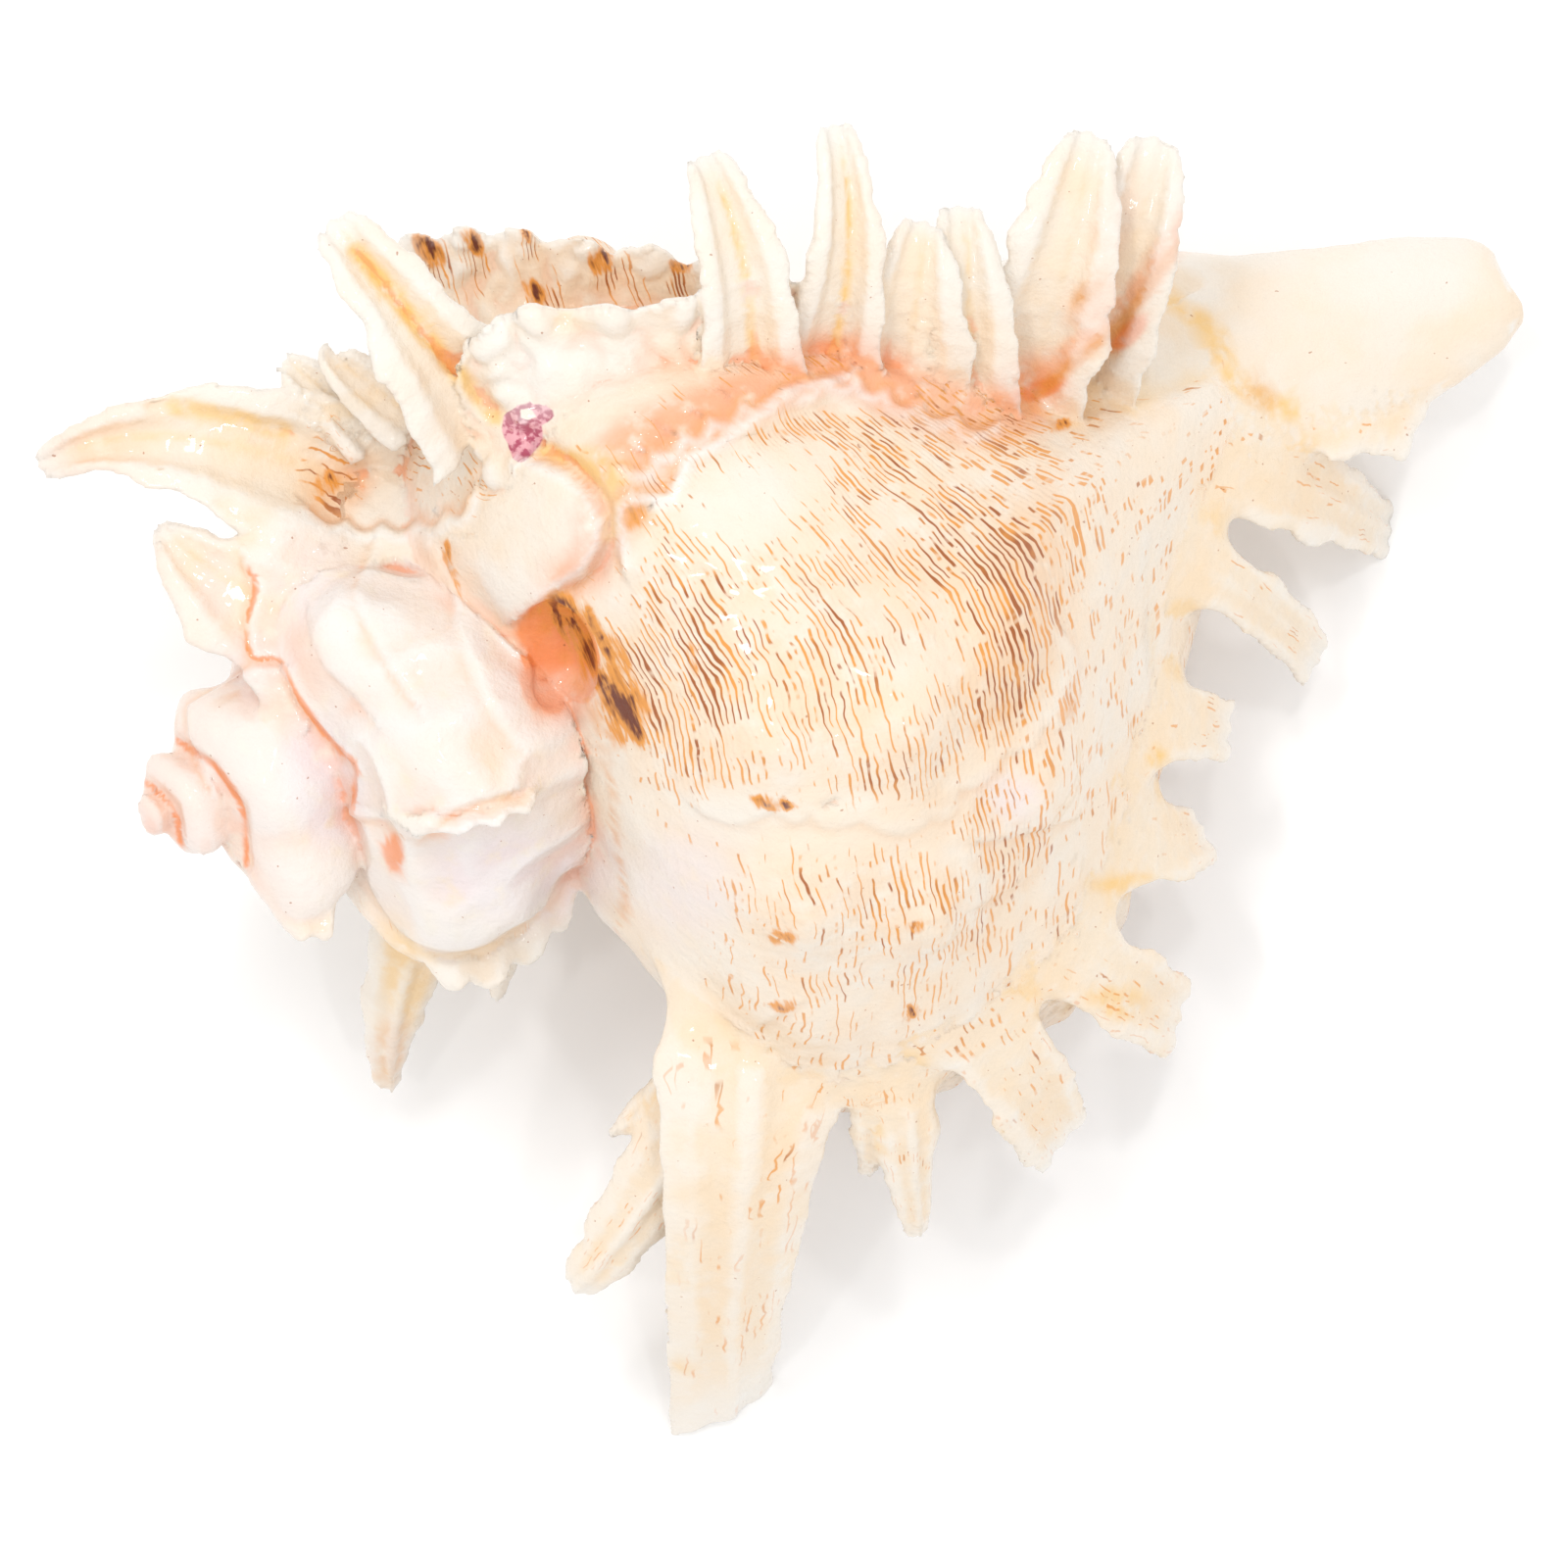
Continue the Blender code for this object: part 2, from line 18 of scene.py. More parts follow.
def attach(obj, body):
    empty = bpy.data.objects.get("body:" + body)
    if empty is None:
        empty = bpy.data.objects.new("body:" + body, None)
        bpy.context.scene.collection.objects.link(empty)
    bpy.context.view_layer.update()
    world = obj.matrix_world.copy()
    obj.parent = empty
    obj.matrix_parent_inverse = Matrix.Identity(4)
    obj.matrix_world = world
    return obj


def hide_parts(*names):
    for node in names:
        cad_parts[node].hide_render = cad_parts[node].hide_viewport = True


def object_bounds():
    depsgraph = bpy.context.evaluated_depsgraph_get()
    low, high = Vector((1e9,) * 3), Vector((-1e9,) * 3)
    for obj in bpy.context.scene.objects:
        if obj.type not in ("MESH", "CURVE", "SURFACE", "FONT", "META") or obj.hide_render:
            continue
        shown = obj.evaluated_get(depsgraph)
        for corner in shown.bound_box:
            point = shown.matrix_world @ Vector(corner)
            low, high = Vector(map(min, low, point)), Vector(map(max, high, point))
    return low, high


bl_info = {
    "name": "Branched Murex Shell",
    "version": (1, 0, 0),
    "blender": (4, 5, 0),
    "location": "3D View > Sidebar > Shell",
    "description": "Grows a branched murex shell with its natural finish, and a plain stage for it",
    "category": "Add Mesh",
}

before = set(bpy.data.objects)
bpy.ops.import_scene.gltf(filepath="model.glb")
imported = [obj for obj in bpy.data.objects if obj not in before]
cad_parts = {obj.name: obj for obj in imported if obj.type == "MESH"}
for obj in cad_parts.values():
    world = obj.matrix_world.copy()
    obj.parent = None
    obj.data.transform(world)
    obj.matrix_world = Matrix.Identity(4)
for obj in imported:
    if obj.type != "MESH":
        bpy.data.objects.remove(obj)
CAD_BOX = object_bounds()
MM = 0.001

# How the shell lies. Its axis leans in plan and dips from the apex to the canal.
APEX = np.array((-81.5, -4.2, 57.0))
FRAME_SHIFT = np.array((-0.543, 0.977, 0.0))
LEAN = math.radians(18)
DIP = math.radians(11)
AXIS = np.array((math.cos(DIP) * math.cos(LEAN), math.cos(DIP) * math.sin(LEAN), -math.sin(DIP)))
BACK = np.array((math.sin(DIP) * math.cos(LEAN), math.sin(DIP) * math.sin(LEAN), math.cos(DIP)))
SIDE = np.cross(AXIS, BACK)
AXIS_BEND = ((88, 0), (106, -3), (118, -6), (130, -8.5), (142, -10.3), (152, -11), (163, -10),
             (190, -10.5))

# The last whorl as it grew: (around, suture's place along, stretch along, radius). Each earlier
# whorl is the same, divided by GROWTH.
GROWTH = 2.04
RADIUS = 60.0
LAST_WHORL = ((-265, 22.5, 0.49, 29.4), (-200, 29, 0.62, 36), (-130, 36, 0.75, 42),
              (-90, 40, 0.82, 45), (-45, 44, 0.90, 47.5), (-14, 50, 0.95, 50), (8, 53, 1.0, 51.5),
              (30, 53, 1.0, 53), (63, 53, 0.98, 55), (95, 51.5, 0.95, RADIUS))
LIP_ANGLE = 95.0
WHORL_COUNT = 4.4
SECTION_STEP = 2.5
LIP_FLARE_FROM = 38.0
LIP_FLARE = 2.2

# The outline of the tube, from the suture to the neck: (past the suture, share of the radius).
WHORL_OUTLINE = ((-4, 0), (0, 0.36), (4, 0.62), (11, 0.86), (18, 0.97), (29, 1.0), (41, 0.95),
                 (54, 0.84), (66, 0.66), (77, 0.46), (88, 0.30), (98, 0.16), (102, 0))
LIP_OUTLINE = ((-4, 0), (0, 0.38), (5, 0.63), (13, 0.86), (22, 1.00), (31, 1.06), (44, 1.06),
               (58, 1.06), (65, 1.01), (71, 0.91), (78, 0.75), (85, 0.59), (92, 0.44), (98, 0.30),
               (104, 0.14), (107, 0))

# Varices: (around, height as a share of the radius, path), where the path says how far round the
# crest runs on at each distance past the suture.
STRAIGHT = ((0, 0),)
CREST_PATH = ((2, 17), (11, 11), (20, 3), (30, 1), (40, -1), (52, -3), (60, 4), (68, 9), (80, 8),
              (92, 0))
VARICES = ((90, 0.02, STRAIGHT), (-30, 0.10, CREST_PATH), (-176, 0.10, ((0, 10), (24, 0))),
           (-333, 0.11, STRAIGHT), (-450, 0.16, STRAIGHT), (-560, 0.14, STRAIGHT),
           (-642, 0.42, STRAIGHT), (-810, 0.16, STRAIGHT), (-930, 0.16, STRAIGHT),
           (-1005, 0.20, STRAIGHT), (-1170, 0.15, STRAIGHT))
VARIX_RISE = 36.0
VARIX_FALL = 7.0

# Knobs: (along, around, height, spread).
KNOBS = (
    (70, 18, 3.0, 6), (69, 45, 3.0, 6), (69, 66, 2.5, 5), (88, 20, 4.5, 7), (86, 50, 3.0, 6),
    (104, 18, 4.0, 7), (105, 44, 4.0, 7), (53, -90, 9.0, 7), (64, -84, 8.0, 6), (76, -80, 8.0, 6),
)

# The canal, as flat oval sections: (along, up, half width, half height), and the slot under it.
CANAL = ((84, 8, 10, 12), (96, 7, 24, 22), (108, 5, 28, 25), (119, 3, 26.5, 23),
         (130, 1.5, 22.5, 18.5), (142, 1, 17.5, 12), (152, 1.5, 14, 8), (163, 1.5, 12.5, 6),
         (175, 1.5, 10.5, 5), (183, 2, 8, 4), (186.5, 2, 5.5, 3))
SLOT = ((100, 33, -6), (109, 25, -11), (119, 14, -17), (131, 4, -16), (142, 0, -12), (153, 0, -8),
        (166, 0, -6), (178, 0, -4.5), (190, 0, -2))
SLOT_HALF = (1.9, 5.0)

# The mouth: a horn that shrinks as it winds back inside: past the suture, share of the radius.
MOUTH_MIDDLE = (34, 0.62)
MOUTH_HALF = (24, 0.36)
MOUTH_INSIDE = 0.78
MOUTH_TAPER = 0.3
MOUTH_TURN = 40
MOUTH_DEPTH = 210

# Ruffled walls on the varices: (around, path, from along, to along, height, scallops).
RUFFLES = ((-333, STRAIGHT, 29, 47, 2.6, 4), (-450, STRAIGHT, 17, 34, 4, 3),
           (-268, STRAIGHT, 30, 53, 5, 4), (-642, STRAIGHT, 10, 22, 3, 3))
RUFFLE_THICK = 2.2
RUFFLE_ROOT = 4
RUFFLE_LEAN, RUFFLE_WAVE = 0.35, 0.12

# The pocket where the last varix but one meets the suture: its middle and its half sizes.
POCKET = (52.5, -2.5, 30)
POCKET_HALF = (5.2, 7.4, 9.0)

# Wavy sheets of shell: (base line, free edge, waves, rise of the edge's scallops, thickness). They
# are the flange on the crest of the last varix but one, the striped fan behind it and the lip's
# skirt.
SHEETS = (
    (((-36, 37, 76), (-31, 38, 80), (-24, 38.5, 84), (-16.8, 41.4, 84), (-12, 44.4, 82),
      (-3.6, 47.4, 78.5), (7.2, 49.5, 70), (15.6, 47.5, 69), (25.2, 44.4, 65), (31.2, 48.6, 54),
      (38, 55, 48), (45, 62, 46)),
     ((-40, 50, 83), (-37, 54, 85), (-31, 57, 87), (-21, 57, 88), (-12, 58.5, 88), (0, 61, 83.5),
      (9.6, 57, 76), (20, 57, 72), (28, 57, 68), (38, 60, 60), (45, 66, 56)), 11, 0, 2.6),
    (((-50, 52, 58), (-40, 53, 62), (-25, 52, 64), (-10, 52, 64)),
     ((-47, 66, 64), (-36, 67, 66), (-24, 65.5, 68), (-9, 63, 68)), 5, 1.6, 2.6),
    (((30, 50, 56), (34, 43, 57), (37, 34, 58), (38, 26, 58), (38.5, 16, 57), (37.5, 6, 55),
      (36, -4, 54), (33, -13, 53), (29, -19, 53), (22, -24, 54), (15, -27, 55), (6, -29, 56)),
     ((53, 62, 37), (60, 53, 32), (60, 43, 31), (54, 34, 33), (49.5, 23, 36), (47, 11, 39),
      (44.4, 0, 40), (41.4, -12, 41), (37.5, -20, 40), (33, -29, 40), (22, -36, 42), (10, -41, 43)),
     9, 0, 4.5),
)

# Fronds in plan: (root, bend, tip, widths there, fold as a share of the width, notch at the end).
LIP_FRONDS = (
    ((-2, -22, 52), (-5.4, -51, 46), (-7.5, -78.5, -0.5), (30, 19, 14.5), 0.10, 3.0),
    ((-8, -38, 48), (-17.5, -52, 38), (-25.5, -62, 26), (15, 10, 6), 0.2, 0),
    ((-6, -33, 52), (-14.5, -38.5, 45), (-21.5, -43.2, 38), (10, 6, 1.5), 0.1, 0),
    ((14, -28, 56), (15.4, -44.5, 44), (16.4, -55.4, 28), (14, 8, 3.5), 0.1, 0),
    ((10.5, -33, 54), (10.8, -42, 46), (10.3, -47.6, 36), (8, 5, 2.5), 0.05, 0),
    ((22, -25, 55), (29.5, -36.5, 44), (34, -44.2, 28), (18, 13, 9.5), -0.1, 1.0),
    ((30, -17, 52), (40.4, -24, 42), (48.2, -28.8, 27), (18, 13, 9.5), -0.1, 1.0),
    ((33, -5, 51), (44, -6.8, 41), (51.3, -5.6, 27), (18, 14, 8), -0.1, 1.0),
    ((34, 7, 51), (46, 8, 41), (54.6, 6.8, 26), (18, 14, 8), -0.1, 0.6),
    ((42, 30, 46), (55, 24.4, 35), (65.8, 15.4, 12), (20, 10, 7), -0.06, 0.6),
    ((49, 43, 41), (64, 36.6, 28), (75.2, 31.4, -2), (22, 13, 7), -0.06, 0.6),
    ((60, 54, 33), (71, 49.5, 30), (79, 45, 26), (22, 19, 12), -0.04, 1.5),
    ((72, 60, 30), (79.6, 56.8, 27), (84.6, 54.6, 25), (16, 12, 7), -0.04, 0),
    ((70, 61.5, 28), (80, 61.6, 26), (89.4, 61.8, 25), (12, 12, 10.5), -0.04, 0.5),
)
UPPER_FRONDS = (
    ((-4.5, 45, 76), (-5.4, 62, 86.5), (-10, 75.6, 84), (14, 11, 5.5), 0.3, 0),
    ((3.5, 47, 70), (7.4, 64, 82), (5.8, 79.6, 82), (13, 9.5, 4.5), 0.3, 0),
    ((14, 46, 66), (15.4, 59, 76), (16.8, 67.8, 76), (16, 12.5, 6), 0.2, 0),
    ((21, 45, 63), (21.8, 59, 73.5), (21, 69.8, 73), (15, 11, 6), 0.2, 0),
    ((28, 47, 57), (33.6, 64, 69.5), (37, 79, 70), (17, 14, 7), 0.2, 0),
    ((35, 51, 51), (41.2, 64.5, 64), (45, 78.6, 66), (16, 14, 8), 0.2, 0),
    ((-36, 43, 76), (-45.6, 56.4, 84), (-54.8, 67.8, 84), (20, 12, 7), 0.2, 0),
    ((-50, 34, 56), (-73, 41.5, 62), (-90.5, 38.6, 60), (24, 13, 4), 0.3, 0),
    ((-55, 16, 60), (-68, 24, 63), (-76, 31.4, 62), (26, 15, 3), 0.15, 0),
    ((-50, 42, 58), (-58, 49, 60), (-60.5, 51, 60), (9, 6, 3), 0.2, 0),
    ((-45, 44, 62), (-53, 50, 64), (-55, 52.5, 64), (9, 6, 3), 0.2, 0),
    ((-42, 24, 60), (-51, 32, 57), (-57, 38, 54), (18, 17, 12), 0.05, 0),
)
UNDER_FRONDS = (
    ((-42, -12, 40), (-47.6, -26, 28), (-49, -37.4, 13), (14, 9, 4), 0.2, 0),
    ((-34, -18, 38), (-34.8, -22.6, 34), (-35.4, -26.4, 30), (7, 4, 2), 0.1, 0),
    ((-25, -16, 38), (-25.6, -21.6, 34), (-26, -25.4, 30), (7, 5, 2.5), 0.1, 0),
    ((-20, 20, 16), (-30, 30, 9), (-37, 37, -2.5), (15, 10, 7), 0.2, 0),
    ((0, 26, 12), (-4, 36, 8), (-8, 44, 2), (12, 8, 4), 0.2, 0),
    ((16, 30, 12), (14, 40, 10), (12, 48, 6), (11, 7, 4), 0.2, 0),
)
FROND_THICK = 3.0
FROND_RIB = 0.28
# How the edge of a frond waves: (length of the waves, height as a share of the width, seed).
FROND_EDGE = ((5.5, 0.22, 0.0), (2.0, 0.08, 5.0))
CALM_FIRST_FROND = 0.3

# The creases round the lip's fronds and on the canal are rounded off along these lines in plan,
# with these strengths, this far to each side and in this many rounds.
SOFT_LINES = (
    (((-18, -24), (-2, -27), (12, -34), (24, -33), (34, -26), (41, -14), (44, 0), (47, 14),
      (50, 26), (56, 40), (64, 50)), 1.0),
    (((58, 64), (90, 68)), 1.0),
    (((62, 56), (80, 58)), 1.0),
    (((-61.8, 20.2), (-60.3, 24), (-56, 26.3), (-50, 26.7), (-44, 25.2), (-39, 22.5), (-34, 18)),
     1.0),
    (((-65, 13), (-61, 6)), 0.9),
)
SOFT_REACH = 9.0
SOFT_ROUNDS = 60
# How widely the hollows and the edges are told from the rest, in rounds of smoothing.
HOLLOW_ROUNDS = 20

# How finely the pieces are drawn before they are fused.
OUTLINE_POINTS = 110
RING_TURNS = np.radians(np.arange(0, 360, 6))
CANAL_ROWS = 60
FROND_ACROSS = 17
FROND_ROW_LENGTH = 0.7
SHEET_ROWS = 150
SHEET_ACROSS = 12
SCALLOP_ROWS = 24

# What a point on a piece remembers: (kind, around, along the frond, across it, its open side).
WHORL, CANAL_PART, FROND, RUFFLE, MOUTH = range(5)
# How far past the next suture a point counts as lying where there is no next whorl.
NO_NEXT_WHORL = -60.0


def look_up(at, table, column=1):
    """What a column of the table holds at this place, which its first column counts."""
    table = np.array(table, float)
    return np.interp(at, table[:, 0], table[:, column])


def as_rows(*values):
    """These numbers or rows of numbers, each made as long as the longest."""
    return np.broadcast_arrays(*(np.asarray(value, float) for value in values))


def beside(along, sideways, up):
    """The point at this distance along the axis, then sideways (towards the lip) and up from it."""
    along, sideways, up = as_rows(along, sideways, up)
    sideways = sideways + look_up(along, AXIS_BEND)
    return APEX + along[..., None] * AXIS + sideways[..., None] * SIDE + up[..., None] * BACK


def place(along, around, out):
    """The point at this distance along the axis, angle round it in degrees and distance from it."""
    along, around, out = as_rows(along, around, out)
    turn = np.radians(around)
    return beside(along, out * np.sin(turn), out * np.cos(turn))


def shell_place(points):
    """The (along, around, out) of each point, with around between -180 and 180."""
    local = points - APEX
    along = local @ AXIS
    sideways = local @ SIDE - look_up(along, AXIS_BEND)
    up = local @ BACK
    return along, np.degrees(np.arctan2(sideways, up)), np.hypot(sideways, up)


def smooth_step(value):
    value = np.clip(value, 0, 1)
    return value * value * (3 - 2 * value)


def through(a, b, c, d, u):
    """The point at share u between b and c on a smooth curve through all four."""
    return 0.5 * (2 * b + (c - a) * u + (2 * a - 5 * b + 4 * c - d) * u**2
                  + (3 * b - a - 3 * c + d) * u**3)


def run_lengths(outline):
    """How far along the outline each of its points lies, in millimetres."""
    steps = np.linalg.norm(np.diff(outline, axis=0) * (1, RADIUS), axis=1)
    return np.concatenate(([0], np.cumsum(steps)))


def resample(outline, count):
    """Points evenly spaced along a smooth curve through the outline, given in shares of RADIUS."""
    outline = np.array(outline, float)
    curve = []
    padded = np.vstack((2 * outline[0] - outline[1], outline, 2 * outline[-1] - outline[-2]))
    for a, b, c, d in zip(padded, padded[1:], padded[2:], padded[3:]):
        for u in np.linspace(0, 1, 12, endpoint=False):
            curve.append(through(a, b, c, d, u))
    curve.append(outline[-1])
    curve = np.array(curve)
    lengths = run_lengths(curve)
    at = np.linspace(0, lengths[-1], count)
    return np.stack([np.interp(at, lengths, curve[:, k]) for k in range(2)], axis=1)


WHORL_SECTION = resample(WHORL_OUTLINE, OUTLINE_POINTS)
LIP_SECTION = resample(LIP_OUTLINE, OUTLINE_POINTS)


def varix_swell(around, past_suture):
    """How much the varices raise the whorl: a slow rise on the older side, a quick fall after."""
    swell = 0.0
    for middle, height, path in VARICES:
        beyond = around - middle - look_up(past_suture, path)
        rising = smooth_step(1 + beyond / VARIX_RISE)
        rise = np.where(beyond < 0, rising, 1 - smooth_step(beyond / VARIX_FALL))
        swell = swell + height * rise
    return swell


def growth_at(around):
    """The suture's place along, the stretch along and the radius of the tube at these angles."""
    around = np.asarray(around, float)
    back = np.ceil(np.maximum(0.0, (LAST_WHORL[0][0] - around) / 360))
    at = around + 360 * back
    return [look_up(at, LAST_WHORL, column) / GROWTH**back for column in (1, 2, 3)]


def section_at(around):
    """The outline of the tube at this angle, as rows of (along, out)."""
    suture, stretch, radius = growth_at(around)
    flare = max(0.0, (around - LIP_FLARE_FROM) / (LIP_ANGLE - LIP_FLARE_FROM)) ** LIP_FLARE
    section = WHORL_SECTION * (1 - flare) + LIP_SECTION * flare
    swell = varix_swell(around, section[:, 0])
    section = section * (stretch, radius) + (suture, 0)
    section[:, 1] *= 1 + swell
    for along, at, height, spread in KNOBS:
        apart = np.hypot(section[:, 0] - along, np.radians(around - at) * section[:, 1])
        section[:, 1] += height * np.exp(-(apart / spread) ** 2)
    return section


class Growth:
    """The pieces that are fused into the shell, with what each of their points remembers."""

    def __init__(self):
        self.pieces = []
        self.points = []
        self.notes = []

    def add(self, name, grid, notes):
        """A closed tube through the rows of the grid, and its notes: one row for each point."""
        self.pieces.append(tube_object(name, grid))
        self.points.append(grid.reshape(-1, 3))
        self.notes.append(np.broadcast_to(notes, grid.shape[:2] + (5,)).reshape(-1, 5))


def new_object(name, data):
    """An object of this name and data, linked to the scene."""
    obj = bpy.data.objects.new(name, data)
    bpy.context.scene.collection.objects.link(obj)
    return obj


def tube_object(name, grid):
    """A closed tube through rows of points, capped at both ends."""
    count = grid.shape[1]
    bm = bmesh.new()
    verts = [[bm.verts.new(p) for p in row] for row in grid]
    for this, following in zip(verts, verts[1:]):
        for j in range(count):
            k = (j + 1) % count
            bm.faces.new((this[j], this[k], following[k], following[j]))
    bm.faces.new(verts[0][::-1])
    bm.faces.new(verts[-1])
    return object_from(bm, name)


def object_from(bm, name):
    """Turns the form the right way out and makes an object of it."""
    if bm.calc_volume(signed=True) < 0:
        bmesh.ops.reverse_faces(bm, faces=bm.faces)
    mesh = bpy.data.meshes.new(name)
    bm.to_mesh(mesh)
    bm.free()
    return new_object(name, mesh)


def ball(name, middle, half_sizes):
    """A closed oval ball."""
    bm = bmesh.new()
    bmesh.ops.create_icosphere(bm, subdivisions=3, radius=1)
    bmesh.ops.scale(bm, verts=bm.verts, vec=half_sizes)
    bmesh.ops.translate(bm, verts=bm.verts, vec=middle)
    return object_from(bm, name)


def grow_whorls(growth):
    """The tube as a loft of unlike sections from the apex to the outer lip."""
    angles = np.arange(LIP_ANGLE - WHORL_COUNT * 360, LIP_ANGLE + 0.1, SECTION_STEP)
    rows, notes = [], []
    for around in angles:
        section = section_at(around)
        rows.append(place(section[:, 0], around, section[:, 1]))
        notes.append(np.tile((WHORL, around, 0, 0, 0), (len(section), 1)))
    growth.add("whorls", np.array(rows), np.array(notes))


def grow_canal(growth):
    """The flat siphonal canal, which bends away from the lip."""
    rows = []
    for at in np.linspace(CANAL[0][0], CANAL[-1][0], CANAL_ROWS):
        up, half_width, half_height = (look_up(at, CANAL, column) for column in (1, 2, 3))
        rows.append(beside(at, half_width * np.cos(RING_TURNS),
                           up + half_height * np.sin(RING_TURNS)))
    growth.add("canal", np.array(rows), (CANAL_PART, LIP_ANGLE - 60, 0, 0, 0))


def grow_ruffle(growth, middle, path, start, end, height, scallops):
    """A scalloped wall that stands on a varix and leans to the newer side."""
    rows, notes = [], []
    for u in np.linspace(0, 1, SCALLOP_ROWS * scallops + 1):
        along = start + (end - start) * u
        suture, stretch, _ = growth_at(middle)
        around = middle + float(look_up((along - suture) / stretch, path))
        outline = section_at(around)
        base = float(np.interp(along, outline[:, 0], outline[:, 1]))
        rise = height * math.sin(math.pi * min(1, 6 * u, 6 * (1 - u)) / 2)
        rise *= 0.6 + 0.4 * abs(math.sin(math.pi * scallops * u))
        half = math.degrees(RUFFLE_THICK / 2 / max(base, 1))
        lean = math.degrees(RUFFLE_LEAN * rise / max(base, 1))
        wave = math.degrees(RUFFLE_WAVE * rise / max(base, 1))
        wave *= math.sin(2 * math.pi * scallops * u)
        ring, note = [], []
        for side, shares in ((-1, (0, 0.35, 0.7, 1)), (1, (1, 0.7, 0.35, 0))):
            for share in shares:
                turn = around + side * half * (1 - 0.5 * share) + (lean + wave) * share**1.5
                out = base - RUFFLE_ROOT + (rise + RUFFLE_ROOT) * share
                ring.append(place(along, turn, out))
                note.append((RUFFLE, around, share, u * scallops, side))
        rows.append(ring)
        notes.append(note)
    growth.add("ruffle", np.array(rows), np.array(notes))


def bent(start, pull, end, u):
    """The value at share u of a bend from start to end, drawn towards pull."""
    return (1 - u) ** 2 * start + 2 * u * (1 - u) * pull + u**2 * end


def grow_frond(growth, number, root, bend, tip, widths, cup, notch, facing):
    """A channelled blade from root through bend to tip. Its open side looks along facing."""
    root, bend, tip, facing = (np.array(v, float) for v in (root, bend, tip, facing))
    pull = 2 * bend - 0.5 * (root + tip)
    broad = 2 * widths[1] - 0.5 * (widths[0] + widths[2])
    across = np.linspace(-1, 1, FROND_ACROSS)
    length = np.linalg.norm(tip - root)
    rows, notes = [], []
    for u in np.linspace(0, 1, max(20, int(length / FROND_ROW_LENGTH))):
        centre = bent(root, pull, tip, u)
        ahead = 2 * (1 - u) * (pull - root) + 2 * u * (tip - pull)
        ahead /= np.linalg.norm(ahead)
        wide = np.cross(ahead, facing)
        wide /= np.linalg.norm(wide)
        face = np.cross(wide, ahead)
        width = bent(widths[0], broad, widths[2], u)
        thick = min(FROND_THICK, 0.8 * width) * (1 - 0.35 * u)
        ring, note = [], []
        for v, surface in [(v, 1) for v in across] + [(v, -1) for v in across[::-1]]:
            scale = 1 + frond_edge(number, u * length, v) * abs(v) ** 3
            curl = cup * width * (math.sqrt(v * v + 0.02) - 0.45)
            end = u**6 * (notch * (v * v - 0.5) - (0 if notch else 0.3 * width * v * v))
            rib = FROND_RIB * math.cos(3 * math.pi * v) * (1 - abs(v)) * surface
            edge = math.sqrt(1 - 0.85 * v * v)
            ring.append(centre + wide * (v * scale * width / 2) + ahead * end
                        + face * (curl + surface * thick / 2 * edge + rib))
            note.append((FROND, number, u, v, surface))
        rows.append(ring)
        notes.append(note)
    growth.add("frond", np.array(rows), np.array(notes))


def smooth_line(points, count):
    """Evenly numbered points along a smooth curve through these."""
    points = np.array(points, float)
    at = np.linspace(0, len(points) - 1, count)
    padded = np.vstack((2 * points[0] - points[1], points, 2 * points[-1] - points[-2]))
    index = np.minimum(at.astype(int), len(points) - 2)
    u = (at - index)[:, None]
    a, b, c, d = (padded[index + k] for k in range(4))
    return through(a, b, c, d, u)


def grow_sheet(growth, base, edge, waves, scallops, thick):
    """A wavy sheet of shell, hollow between its base and its free edge."""
    shares = np.linspace(0, 1, SHEET_ACROSS)
    base, edge = smooth_line(base, SHEET_ROWS), smooth_line(edge, SHEET_ROWS)
    rows, notes = [], []
    for i, (low, high) in enumerate(zip(base, edge)):
        u = i / (SHEET_ROWS - 1)
        wave = math.sin(2 * math.pi * waves * u) + 0.6 * noise.noise(Vector((u * 31, 2.0, 0.0)))
        high = high + (high - low) / np.linalg.norm(high - low) * scallops * (
            abs(math.sin(math.pi * (waves * u + 0.3))) - 0.5)
        ring, note = [], []
        for side, part in ((1, shares), (-1, shares[::-1])):
            for share in part:
                point = low + (high - low) * (share - 0.06 * (1 - share))
                drop = (-2.2 * math.sin(math.pi * share) + 0.9 * wave * share**1.5
                        + side * thick / 2 * (1 - 0.55 * share))
                ring.append(point + (0, 0, drop))
                note.append((RUFFLE, -30, share, u * waves, side))
        rows.append(ring)
        notes.append(note)
    growth.add("sheet", np.array(rows), np.array(notes))


def frond_edge(number, distance, v):
    """How far a frond's edge waves out or in at this distance from its root."""
    own = 7.31 * number + (1.7 if v > 0 else 0.0)
    wave = sum(noise.noise(Vector((distance / size, own, seed))) * height
               for size, height, seed in FROND_EDGE)
    return wave * (CALM_FIRST_FROND if number == 0 else 1.0)


def mouth_cutter(growth):
    """The cutter for the mouth: oval sections that wind back and shrink with the whorl."""
    rows = []
    for around in np.arange(LIP_ANGLE + 12, LIP_ANGLE - MOUTH_DEPTH, -4):
        suture, stretch, radius = growth_at(min(around, LIP_ANGLE))
        inside = float(smooth_step((LIP_ANGLE - around) / MOUTH_TURN))
        narrow = 1 - (1 - MOUTH_INSIDE) * inside
        narrow -= MOUTH_TAPER * float(smooth_step((LIP_ANGLE - around) / MOUTH_DEPTH))
        along = suture + stretch * (MOUTH_MIDDLE[0] + narrow * MOUTH_HALF[0] * np.cos(RING_TURNS))
        out = radius * (MOUTH_MIDDLE[1] + narrow * MOUTH_HALF[1] * np.sin(RING_TURNS))
        rows.append(place(along, around, out))
    growth.points.append(np.array(rows).reshape(-1, 3))
    growth.notes.append(np.tile((MOUTH, LIP_ANGLE, 0, 0, 0), (len(growth.points[-1]), 1)))
    return tube_object("mouth", np.array(rows))


